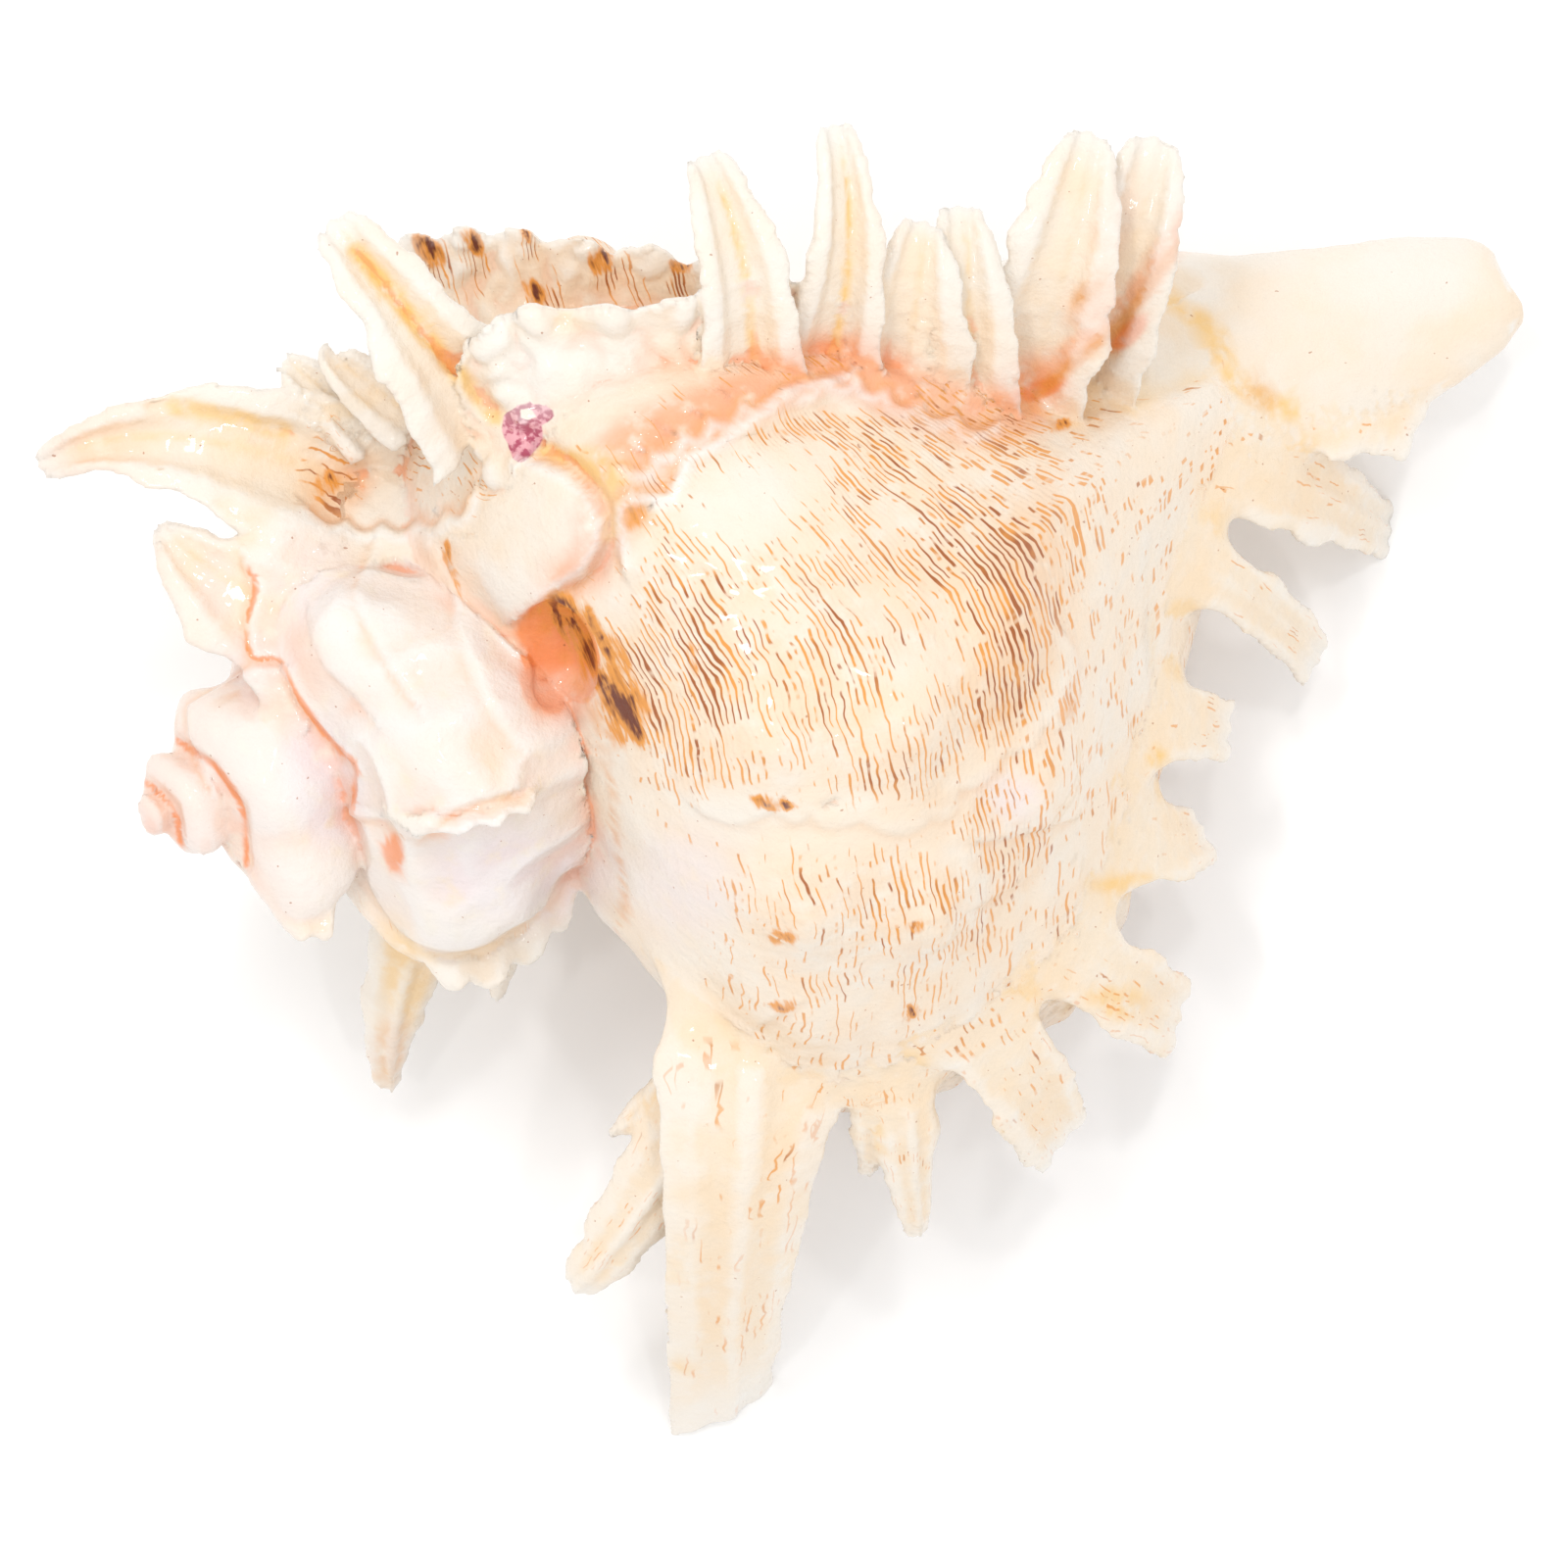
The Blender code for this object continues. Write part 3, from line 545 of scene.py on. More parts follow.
def slot_cutter():
    """The cutter for the slot under the canal."""
    rows = []
    for middle in smooth_line(SLOT, 41):
        rows.append([
            beside(middle[0], middle[1] + SLOT_HALF[0] * i, middle[2] + SLOT_HALF[1] * j)
            for i, j in ((1, 1), (-1, 1), (-1, -1), (1, -1))
        ])
    return tube_object("slot", np.array(rows))


def ground_cutter():
    """The cutter that leaves a small worn flat where a frond meets the ground."""
    reach, depth = 150.0, 60.0
    corners = ((-reach, -reach), (reach, -reach), (reach, reach), (-reach, reach))
    return tube_object("ground", np.array([[(x, y, z) for x, y in corners] for z in (-depth, 0)]))


def add_modifier(obj, kind, **settings):
    modifier = obj.modifiers.new(kind.lower(), kind)
    for name, value in settings.items():
        setattr(modifier, name, value)
    return modifier


def evaluated_mesh(obj):
    graph = bpy.context.evaluated_depsgraph_get()
    return bpy.data.meshes.new_from_object(obj.evaluated_get(graph), depsgraph=graph)


def fused_mesh(growth, voxel):
    """One closed fine mesh of all the pieces, with the mouth, the slot and the pocket cut."""
    shell = growth.pieces[0]
    with bpy.context.temp_override(active_object=shell, selected_editable_objects=growth.pieces):
        bpy.ops.object.join()
    add_modifier(shell, "REMESH", mode="VOXEL", voxel_size=voxel)
    add_modifier(shell, "SMOOTH", factor=0.5, iterations=2)
    pocket = ball("pocket", place(*POCKET), POCKET_HALF)
    cutters = (mouth_cutter(growth), slot_cutter(), pocket, ground_cutter())
    for cutter in cutters:
        add_modifier(shell, "BOOLEAN", operation="DIFFERENCE", solver="MANIFOLD", object=cutter)
    mesh = evaluated_mesh(shell)
    for obj in (shell,) + cutters:
        bpy.data.objects.remove(obj, do_unlink=True)
    bm = bmesh.new()
    bm.from_mesh(mesh)
    keep_main_body(bm)
    bmesh.ops.triangulate(bm, faces=bm.faces)
    bm.to_mesh(mesh)
    bm.free()
    return mesh


def thinned(mesh, triangles):
    """The mesh with about this many triangles left, most of them where it bends."""
    obj = new_object("thinned", mesh)
    add_modifier(obj, "DECIMATE", ratio=min(1.0, triangles / len(mesh.polygons)))
    thin = evaluated_mesh(obj)
    bpy.data.objects.remove(obj, do_unlink=True)
    return thin


def keep_main_body(bm):
    """Drops the crumbs that the remesh leaves off the main body."""
    left = set(bm.verts)
    bodies = []
    while left:
        queue = [left.pop()]
        body = set(queue)
        while queue:
            for edge in queue.pop().link_edges:
                for vert in edge.verts:
                    if vert in left:
                        left.remove(vert)
                        body.add(vert)
                        queue.append(vert)
        bodies.append(body)
    main_body = max(bodies, key=len)
    crumbs = [v for v in bm.verts if v not in main_body]
    bmesh.ops.delete(bm, geom=crumbs, context="VERTS")


def remembered(growth, points):
    """For each point of the shell, what the nearest point of its pieces remembers."""
    source = np.vstack(growth.points)
    notes = np.vstack(growth.notes)
    tree = KDTree(len(source))
    for i, point in enumerate(source):
        tree.insert(point, i)
    tree.balance()
    found = np.empty((len(points), 5))
    for i, point in enumerate(points):
        near = tree.find_n(point, 3)
        first = notes[near[0][1]]
        total, weight = np.zeros(5), 0.0
        for _, index, distance in near:
            note = notes[index]
            same_frond = note[0] != FROND or note[1] == first[1]
            if note[0] == first[0] and same_frond and note[4] == first[4]:
                share = 1 / (distance + 0.05)
                total += note * share
                weight += share
        found[i] = total / weight
        found[i, 0] = first[0]
    return found


def unwind(around, remembered_around):
    """The angle round counted through the whorls, from the angle in the last turn."""
    return around + 360 * np.round((remembered_around - around) / 360)


def flat_steps(value, low, high):
    """0 below low, 1 above high and smooth between them."""
    return smooth_step((value - low) / (high - low))


def patches(points, table):
    """How far the soft oval patches in plan cover each point."""
    cover = np.zeros(len(points))
    for x, y, half_length, half_width, lean, strength in table:
        turn = math.radians(lean)
        dx, dy = points[:, 0] - x, points[:, 1] - y
        far = np.hypot((dx * math.cos(turn) + dy * math.sin(turn)) / half_length,
                       (dy * math.cos(turn) - dx * math.sin(turn)) / half_width)
        cover = np.maximum(cover, strength * (1 - flat_steps(far, 0.35, 1.25)))
    return cover


def softened(mesh, share, rounds):
    """The mesh's points once each has moved by this share to its neighbours, in so many rounds."""
    pairs = np.empty(len(mesh.edges) * 2, np.int32)
    mesh.edges.foreach_get("vertices", pairs)
    pairs = pairs.reshape(-1, 2)
    start, end = np.concatenate((pairs, pairs[:, ::-1])).T
    start, end = start[share[start] > 0], end[share[start] > 0]
    points, _ = read_points(mesh)
    counts = np.maximum(np.bincount(start, minlength=len(points)), 1)
    for _ in range(rounds):
        sums = np.stack([np.bincount(start, points[end, k], len(points)) for k in range(3)], axis=1)
        points += share[:, None] * (sums / counts[:, None] - points)
    return points


def line_distance(points, line):
    """The distance in plan from a line, positive on its left, and how far past its ends."""
    line = np.array(line, float)
    best = np.full(len(points), 1e9)
    side = np.zeros(len(points))
    beyond = np.zeros(len(points))
    for index, (a, b) in enumerate(zip(line, line[1:])):
        along = b - a
        size = np.linalg.norm(along)
        away = points[:, :2] - a
        share = away @ along / size**2
        held = np.clip(share, 0, 1)
        apart = np.linalg.norm(away - held[:, None] * along, axis=1)
        cross = along[0] * away[:, 1] - along[1] * away[:, 0]
        past = np.where((index == 0) & (share < 0), -share * size, 0)
        past = np.where((index == len(line) - 2) & (share > 1), (share - 1) * size, past)
        closer = apart < best
        best = np.where(closer, apart, best)
        side = np.where(closer, np.sign(cross), side)
        beyond = np.where(closer, past, beyond)
    return best * side, beyond


def stroke(points, line, reach, strength=1.0):
    """A soft stroke along a line in plan."""
    apart, _ = line_distance(points, line)
    return strength * (1 - flat_steps(np.abs(apart), 0.25 * reach, reach))


def wander(points, size, seed):
    """Smooth noise between -1 and 1 with lumps of about this size."""
    offset = Vector((seed * 13.7, seed * 5.3, seed * 9.1))
    return np.array([noise.noise(Vector(p) / size + offset) for p in points])


def read_points(mesh):
    """The mesh's points and their normals."""
    points = np.empty(len(mesh.vertices) * 3)
    mesh.vertices.foreach_get("co", points)
    normals = np.empty(len(mesh.vertices) * 3)
    mesh.vertex_normals.foreach_get("vector", normals)
    return points.reshape(-1, 3), normals.reshape(-1, 3)


class Places:
    """Where each point lies on the shell, in the terms that its relief and colours grow by."""

    def __init__(self, growth, points, normals):
        notes = remembered(growth, points)
        self.points = points
        self.kind = notes[:, 0]
        self.share, self.across, self.side = notes[:, 2], notes[:, 3], notes[:, 4]
        self.along, angle, _ = shell_place(points)
        self.around = unwind(angle, np.where(self.kind == FROND, LIP_ANGLE - 60, notes[:, 1]))
        suture, stretch, self.radius = growth_at(np.minimum(self.around, LIP_ANGLE))
        self.past = (self.along - suture) / stretch
        suture, stretch, _ = growth_at(np.minimum(self.around + 360, LIP_ANGLE))
        before_next = (self.along - suture) / stretch
        self.to_next = np.where(self.around + 360 <= LIP_ANGLE, before_next, NO_NEXT_WHORL)
        self.up = flat_steps(normals[:, 2], -0.15, 0.35)

        # The regions of the shell, each from 0 to 1.
        self.on_whorl = np.isin(self.kind, (WHORL, CANAL_PART)).astype(float)
        self.in_mouth = (self.kind == MOUTH).astype(float)
        self.last = flat_steps(self.around, -275, -255)
        self.on_canal = flat_steps(points[:, 0], 54, 60) * (points[:, 1] > 49)
        self.older = self.on_whorl * (1 - self.last) * (1 - self.on_canal)
        depth = np.linalg.norm((points - place(*POCKET)) / POCKET_HALF, axis=1)
        self.in_pocket = 1 - flat_steps(depth, 1.05, 1.11)

        # The fronds, and the groove down the open side of each upper one.
        first_upper = len(LIP_FRONDS) + len(UNDER_FRONDS)
        self.frond = np.where(self.kind == FROND, notes[:, 1], -1).round().astype(int)
        self.on_frond = (self.kind == FROND).astype(float)
        self.on_lip_frond = self.on_frond * (self.frond < len(LIP_FRONDS))
        self.upper = self.on_frond * (self.frond >= first_upper)
        grooves = np.array((0,) * first_upper + GROOVES + (0,))
        open_side = (self.side > 0) * flat_steps(-self.share, -1.0, -0.75)
        self.groove = grooves[self.frond] * open_side


def scalloped(line, count, depth):
    """The line with this many scallops, each bulging this far to its left."""
    points = smooth_line(line, 7 * count + 1)
    ahead = np.gradient(points, axis=0)
    ahead /= np.linalg.norm(ahead, axis=1)[:, None]
    bulge = depth * np.abs(np.sin(np.linspace(0, math.pi * count, len(points))))
    return points + bulge[:, None] * np.stack((-ahead[:, 1], ahead[:, 0]), axis=1)


# Lines in plan that relief and colour share: the edge of the newer growth over the old whorls, the
# edge at the short spur, and the two seams by the apex.
OLD_EDGE = (
    (-65.4, 26.6), (-64.2, 24), (-65.3, 19.2), (-64.6, 15.4), (-61.2, 15), (-58.8, 10.2),
    (-55.2, 5.4), (-52.2, 2.4), (-52.1, -0.6), (-52.6, -3.6), (-48.6, -4.6), (-44.4, -6.6),
    (-40.8, -3.6), (-36.8, -1.8), (-33.6, -1),
)
SPUR_EDGE = ((-37.9, 21), (-39.6, 24), (-41.4, 28.8))
APEX_SEAM = ((-78.7, 1.1), (-74.4, -3.1), (-73.7, -7), (-72.5, -10.8))
SECOND_SEAM = ((-74.4, 5.4), (-69.4, 2.3), (-66, -3.1), (-65.6, -10))

# Thin overlapping edges of shell: (line in plan, with the raised side on its left, height, fade).
FLAPS = (
    (scalloped(((34.1, 17.8), (33.4, 9.2), (28.7, 5.4), (21.4, 0), (16.7, -4.4), (5.9, -4.0),
                (0.5, -3.1), (-9.5, -3.5)), 9, 1.4)[::-1], 0.5, 8),
    (((24, -6.8), (28.8, -6), (34.4, -4.4)), 0.6, 3),
    (((24, -14.4), (27.6, -12.4)), 0.5, 2.5),
    (((-2, -28.8), (1.6, -26.8)), 0.5, 2.5),
    (scalloped(((25.2, 43.5), (15.6, 46.6), (7.2, 49.6), (-3.6, 46.6), (-12, 42.6), (-19, 38)),
               11, 1.6), 0.9, 3.5),
    (OLD_EDGE, 0.8, 7),
    (((-50, 29), (-52, 22), (-49, 16), (-45, 10)), 0.7, 5),
    (((-40, 26), (-40, 18), (-36.6, 10), (-33, 5)), 0.6, 5),
    (((-57, 20), (-55, 14), (-50, 8)), 0.5, 4),
    (scalloped(((-38, 34.2), (-43.2, 32.2), (-50.4, 31.6), (-57.8, 33)), 5, 1.2), 1.1, 8),
    (SPUR_EDGE, 0.6, 5),
    (((-31.2, 21), (-28.8, 22.6), (-24.2, 25), (-22, 28.6), (-21.8, 31.1), (-22.9, 34.3),
      (-26.5, 37.6), (-30.5, 39.2)), 1.3, 14),
    (((7.2, 49.8), (0, 48), (-4.2, 44.4), (-8.4, 41.4), (-12, 39.6), (-13.9, 34.7), (-18.5, 34.9),
      (-20.4, 33.7), (-20.5, 29.9), (-19.4, 26.6)), 1.2, 7),
    (((-61.2, 14.4), (-64.6, 14.2), (-67.8, 12), (-72.4, 9.4), (-72, 4.8), (-70.2, 0)), 0.8, 6),
)
# Furrows: (line in plan, depth, half width).
FURROWS = (
    (((-30.5, 41.5), (-25.6, 38), (-21.8, 33.5), (-20.6, 29.5), (-22.6, 25.4), (-26, 23.4)),
     1.6, 1.4),
    (((-51.6, 64.2), (-48, 60), (-43.2, 54), (-38.6, 49.2), (-35.5, 45.5)), 0.9, 1.0),
    (((-76.8, 46.2), (-68.4, 45), (-59.4, 42.6)), 0.9, 1.3),
    (APEX_SEAM, 0.7, 0.8),
    (SECOND_SEAM, 0.8, 0.8),
)


# The relief: heights in millimetres, and lumps, ridges and crumples as (height, size, seed).
LUMPS = ((0.30, 9.0, 1), (0.13, 3.6, 2))
OLD_LUMP, OLD_RIDGE = (1.6, 13.0, 11), (2.4, 9.0, 12)
CORD_SPACING, CORD_HEIGHT, LIP_CORD_HEIGHT = 5.6, 0.05, 0.20
LAMELLAE_PER_MM, LAMELLA_HEIGHT = 0.9, 0.10
NECK = 80
CRUMPLE = (1.5, 3.4, 6)
FROND_STEPS, FROND_STEP_HEIGHT, FROND_RIB_HEIGHT = 9, 0.12, 0.14
GROOVE_DEPTH, RIDGE_HEIGHT = 0.7, 0.35
FLAP_EDGE = 0.55
CALM_INSIDE = 0.8


def relief(at):
    """How far each point stands out from the smooth growth of the shell."""
    rise = sum(height * wander(at.points, size, seed) for height, size, seed in LUMPS)
    rise += at.older * flat_steps(at.along, 18, 34) * (
        OLD_LUMP[0] * wander(at.points, *OLD_LUMP[1:])
        + OLD_RIDGE[0] * (0.25 - np.abs(wander(at.points, *OLD_RIDGE[1:]))))

    # The cords and the growth lines of the last whorl, and the crumpled web behind its flange.
    near_lip = flat_steps(at.around, 20, 90)
    cords = np.cos(2 * np.pi * at.past / CORD_SPACING)
    cords = at.on_whorl * at.last * (CORD_HEIGHT + LIP_CORD_HEIGHT * near_lip) * cords
    rise += cords * flat_steps(at.past, 4, 14) * (at.past < NECK)
    lamellae = np.abs(np.sin(np.radians(at.around) * at.radius * LAMELLAE_PER_MM))
    lamellae = at.on_whorl * LAMELLA_HEIGHT * (1 - lamellae)
    rise += lamellae * flat_steps(at.past, 0, 8) * (at.past < NECK)
    web = flat_steps(-at.points[:, 0], 4, 12) * (at.kind == RUFFLE) * (at.points[:, 1] > 36)
    rise += CRUMPLE[0] * web * np.abs(wander(at.points, *CRUMPLE[1:]))

    # The ribs and steps of the fronds, and the fold of the upper ones.
    ribs = np.cos(3 * np.pi * at.across) * (1 - at.across**2)
    steps = np.abs(np.sin(np.pi * FROND_STEPS * at.share + 1.2 * at.across**2))
    rise += at.on_frond * (1 - at.on_canal) * (
        FROND_RIB_HEIGHT * ribs + FROND_STEP_HEIGHT * (1 - steps) ** 2)
    rise -= GROOVE_DEPTH * at.groove * np.exp(-((at.across - 0.1) / 0.2) ** 2)
    rise += RIDGE_HEIGHT * at.upper * np.exp(-((np.abs(at.across) - 0.62) / 0.18) ** 2)

    for line, height, fade in FLAPS:
        apart, beyond = line_distance(at.points, line)
        raised = flat_steps(apart, -FLAP_EDGE, FLAP_EDGE) * np.exp(-np.maximum(apart, 0) / fade)
        rise += at.up * height * raised * (1 - flat_steps(beyond, 0.5, 4))
    for line, depth, half_width in FURROWS:
        apart, _ = line_distance(at.points, line)
        rise -= at.up * depth * np.exp(-(apart / half_width) ** 2)
    return rise * (1 - CALM_INSIDE * at.in_mouth) * (1 - CALM_INSIDE * at.in_pocket)


# Where the colours lie on the back. Soft oval patches are (x, y, half length, half width, lean,
# strength) in plan, and strokes are (line in plan, reach, strength). The dashes come first: where
# they are dense, where they are also broad and long, and where they thin out.
DASHES = (
    (-12, 14, 13, 17, 0, 0.84), (-17, 14, 6, 9, -25, 1.0), (6, 14, 12, 12, 0, 0.72),
    (27, 20, 9, 20, -8, 0.9), (14, 38, 15, 6, -50, 0.62), (22, 30, 9, 10, 0, 0.85),
    (14, -16, 24, 9, 0, 0.60), (27, -6, 8, 9, 0, 0.75), (12, -30, 22, 6, 0, 0.40),
    (38, 28, 4, 16, -10, 0.4), (-26, 60, 20, 8, -8, 0.42), (2, -44, 9, 22, 0, 0.30),
    (-42.5, 63.5, 3.2, 4.2, 35, 1.0), (-37.5, 64, 2, 4, 30, 0.9), (-31, 65.5, 1.8, 3, 20, 0.8),
    (-28.8, 58.6, 3.6, 3, 40, 0.95), (-21.5, 62, 3, 3.2, 0, 0.95), (-13, 61, 3, 3, 0, 0.8),
    (-55.5, 38.5, 4.5, 8, 15, 0.8), (-44.5, 45, 3, 6, 0, 0.35), (38, -30, 12, 10, 0, 0.35),
    (-46, 45, 9, 8, 0, 0.24), (45, 40, 10, 12, 0, 0.2),
)
DARK_BELT = ((-13, 12, 13, 18, -10, 1), (24, 22, 8, 16, -10, 0.3))
BARES = (
    (-4, 34, 9, 6, 30, 0.85), (0, -4, 20, 4, 0, 0.9), (-14, -16, 8, 14, 0, 0.8),
    (28, -2, 4, 3.5, 0, 0.6), (38, 2, 5, 14, 0, 0.5), (17, 14, 5, 4, 0, 0.3),
    (50, 58, 14, 8, 0, 0.6), (-28, 30, 10, 11, 0, 1.0), (45, 24, 9, 18, -10, 0.6),
    (42, -8, 7, 12, 0, 0.5), (45, 43, 12, 8, 20, 0.8), (36, 40, 5, 3, -20, 0.5),
    (-24, 47, 16, 8, 10, 1.0), (-10, 44, 10, 5, 20, 0.8), (10, 48, 10, 4, 0, 0.8),
    (30, 66, 14, 14, 0, 1.0),
)
STAINS = (
    (-75, 7.2, 1, 2.4, -10, 0.9), (-68, 10.4, 2.4, 0.8, 30, 0.6), (58.5, 47.8, 3, 2, -30, 0.5),
    (28.8, 22, 6, 17, -12, 0.42), (-54.6, 36.6, 5, 3.4, 20, 0.6), (-18, 33, 2.8, 2.8, 0, 0.9),
    (42, 55, 4, 1.6, 45, 1.0), (37, 60, 3.2, 1.4, 45, 0.8), (-26, 61, 15, 6, -8, 0.1),
    (-49, -34, 3.4, 6, -20, 0.55), (33.6, 43.8, 1.8, 0.9, 20, 0.9), (15, 25, 10, 9, 0, 0.14),
    (26, 8.5, 4.5, 1.3, 25, 0.7), (34.5, 9, 2, 1, 50, 0.7), (50, -22, 3, 2, 0, 0.35),
    (37, 46, 5, 4, 0, 0.25),
)
UMBERS = (
    (-43.2, 65, 1.5, 2.8, 35, 1), (-37.8, 66, 1.0, 2.4, 35, 0.9), (-31.4, 67.2, 0.9, 2.0, 20, 0.9),
    (-30.2, 59.8, 1.2, 2.2, 40, 0.9), (-22.2, 63.6, 1.6, 1.8, 0, 1), (-12.6, 63, 1.8, 1.0, 0, 0.9),
    (-55.2, 36.8, 2.0, 1.5, 40, 0.95), (0, -27, 1.6, 0.9, 0, 0.8), (0, -18.6, 1.8, 0.9, 0, 0.8),
    (-1.2, -2.4, 2.8, 0.9, -10, 0.95), (16.2, -17.4, 1, 0.9, 0, 0.9),
    (15.6, -27.6, 1, 0.8, 0, 0.95), (-41, 28, 0.6, 2, -5, 0.6), (-18.2, 32.4, 1.9, 2.2, 0, 0.45),
    (33.8, 43.8, 1.2, 0.7, 30, 0.9), (-11, 15, 1.0, 2.6, 10, 0.5),
)
BLUSHES = (
    (-78, -5, 7, 9, 20, 0.5), (-66, -12, 5, 4, 0, 0.3), (-3, 48, 11, 3.6, 10, 0.8),
    (8, 50, 6, 4, 0, 0.8), (-22.5, 29, 3.2, 7, -10, 0.75), (-28.4, 16, 4.5, 6, 0, 1.0),
    (-27.5, 10.5, 4.5, 5, 30, 0.7), (-25.5, 25, 6, 4, 20, 0.5), (-15, 41, 8, 4, 35, 0.85),
    (-47.4, -8.4, 1.4, 3, 0, 1), (-62, 14, 8, 8, 0, 0.30), (25, 46, 6, 2.5, 0, 0.7),
    (38, 58, 4, 5, -45, 0.5), (-53.5, 36, 3, 5, -50, 0.45), (40, 68, 3, 8, -15, 0.25),
)
AMBERS = (
    (46.2, 3, 2.4, 1.6, -30, 1.0), (44, -12.4, 8, 1.8, 0, 0.9), (51, -28, 4, 2.4, 40, 0.9),
    (40, -27, 6, 3, 10, 0.8), (-37, 1.5, 5, 3.5, -20, 0.25), (-46.5, -24, 4, 9, 15, 0.6),
    (-40, 4, 8, 4, 10, 0.2), (-26, -25.2, 2, 1.5, 0, 0.9), (-22.2, -22.3, 1.2, 3, -30, 1.0),
    (-53, 46, 5, 2, 20, 0.35), (-50, -36.8, 2.4, 2, 0, 0.6), (-22, 38, 5, 2.2, -25, 0.8),
    (-25.5, 56, 4, 3, 0, 0.25), (-1.5, 56, 2, 6, 0, 0.25),
)
PEARLS = (
    (-33, -11, 15, 8, 0, 0.9), (-12, -12, 8, 8, 0, 0.5), (-56, 0, 7, 12, 20, 0.9),
    (-58, 24, 8, 9, 0, 0.6), (-64, 14, 8, 6, 30, 0.7), (27.6, -1.5, 4.5, 4, 0, 0.7),
    (-48, 20, 10, 6, 0, 0.3), (-30, 8, 6, 8, 0, 0.3), (-62, -14, 8, 4, 0, 0.4),
    (-69, 24, 3, 6, 0, 0.5),
)
EMBERS = (
    (-29.4, 18.4, 3.8, 3.2, 0, 0.95), (-18.4, 32.5, 2.2, 2.5, 0, 0.5),
    (-47.4, -8.4, 1.5, 3, 0, 0.9), (-26, -25.2, 2, 1.5, 0, 0.8), (42, 55, 4, 1.8, 45, 0.7),
    (31, 48, 5, 1.6, 20, 0.6), (-22, -22.3, 1.2, 3, -30, 0.7), (-82, -4, 1.6, 3, 0, 0.5),
    (-77, -6, 1.4, 3.4, 20, 0.45), (-54.6, 36.6, 5, 3.4, 20, 0.2), (-70.5, -8, 1.4, 3, 0, 0.35),
)
AMBER_STROKES = (
    (((48, 59), (52.5, 55.5), (55.7, 49.2), (62.4, 45.8)), 2.0, 0.8),
    (((-74, 45.8), (-68.4, 45), (-61, 43)), 1.8, 0.7),
    (((-51.6, 64.2), (-48, 60), (-43.2, 54), (-39, 49.2), (-34.8, 44.4)), 1.7, 1.0),
    (((-28.8, 40.2), (-24, 38.4), (-20.4, 34), (-21, 30)), 1.6, 0.9),
)
UMBER_STROKES = (
    (((-26.8, 20.8), (-23, 16.5), (-20.4, 12), (-18.8, 7)), 3.8, 1.0),
    (SPUR_EDGE, 0.6, 0.45),
)
EMBER_STROKES = (
    (OLD_EDGE[:10], 0.6, 0.8),
    (APEX_SEAM, 0.75, 0.7),
    (SECOND_SEAM, 0.8, 0.7),
    (((-83.4, -2), (-81.8, -5), (-79.1, -7)), 0.8, 0.7),
    (((-69.4, 2.3), (-66.5, 1), (-64, -6)), 1.4, 0.25),
)
BLUSH_STROKES = (
    (((-21.6, 31.2), (-19.2, 39.6), (-9.6, 44.4), (-3.6, 47.4), (7.2, 51), (15.6, 46.8),
      (25.2, 44.4), (31.2, 48.6)), 5.6, 1.0),
    (((-12, 44.4), (-21.6, 38.4), (-24, 28.8), (-28.8, 21.6), (-32.4, 19.2)), 2.6, 0.9),
    (((48.8, 68.4), (45.6, 63.6), (42, 58.8), (36, 53.4), (30, 48), (25.2, 45)), 2.4, 0.8),
)
RUST_STROKES = (
    (((48.6, 66), (45.6, 62.2), (42, 57.2), (36, 51.8), (31, 47.6)), 1.2, 0.7),
    (((-28.8, 19.2), (-22.6, 7.2), (-20.4, -6), (-19.4, -15.6), (-22.6, -21)), 0.6, 0.45),
)
FROSTS = (
    (-27, 50, 13, 6, 15, 0.7), (-24, 31, 6, 6, 0, 0.6), (-46, 33, 9, 4, 0, 0.4),
    (-44, 20, 9, 7, 0, 0.25), (-52, -9, 6, 5, 0, 0.4), (-62, -14, 7, 4, 0, 0.4),
    (74, 66, 17, 9, 0, 0.5), (-4, 62, 8, 10, 0, 0.3),
)
SCAR_WHITES = ((-30.9, 44.6, 1.5, 0.9, 0, 1), (-33.5, 45.6, 0.9, 0.7, 0, 1))
WINES = ((-31.6, 42.8, 2.7, 3.4, 25, 1), (-30.2, 44.6, 2.8, 1.4, 0, 1),
         (-31.8, 40.4, 1.4, 1.8, 0, 1))
# How deep, and how strongly coloured, the groove of each upper frond is.
GROOVES = (0.9, 0.9, 0.3, 0.5, 0.2, 0.2, 1.0, 0.35, 0.3, 0.3, 0.3, 0.0)
# The threads lie closer together towards the lip: (distance from the suture, spacing there).
THREADS = ((0, 2.0), (20, 1.9), (42, 1.35), (58, 1.0), (75, 0.85), (95, 0.9), (130, 1.3))
# The half width of a dash, as a share of the thread's spacing on the whorls and flat on the fronds.
DASH_HALF_WIDTH, FROND_DASH_HALF_WIDTH = 0.21, 0.13
# How dense the dashes are outside their patches: on the last whorl, more beyond its middle, on the
# lip's fronds and on the underside. They also show on this spur of the varix before.
BODY_DASHES, FAR_BODY_DASHES, LIP_FROND_DASHES, UNDER_DASHES = 0.36, 0.14, 0.18, 0.75
DASHED_SPUR = ((-55, 38, 8, 10, 0, 1),)
# How strongly a colour shows where the form of the shell, and not a patch, brings it out.
# The crease colours are painted shade, and the flap colour is a painted shadow.
SUTURE_BLUSH, APEX_BLUSH, MOUTH_BLUSH, CREASE_SHADE_BLUSH = 0.35, 0.3, 0.5, 0.4
FROND_AMBER, MORE_ON_THE_LIP, RIM_AMBER, CREASE_SHADE_AMBER = 0.08, 0.12, 0.55, 0.35
CREASE_SHADE_EMBER, UNDER_STAIN, OLD_PEARL, EDGE_FROST, FLAP_SHADOW = 0.5, 0.25, 0.4, 0.7, 0.45


def strokes(points, table):
    """How far the soft strokes cover each point."""
    return np.max([stroke(points, smooth_line(line, 4 * len(line)), reach, strength)
                   for line, reach, strength in table], axis=0)


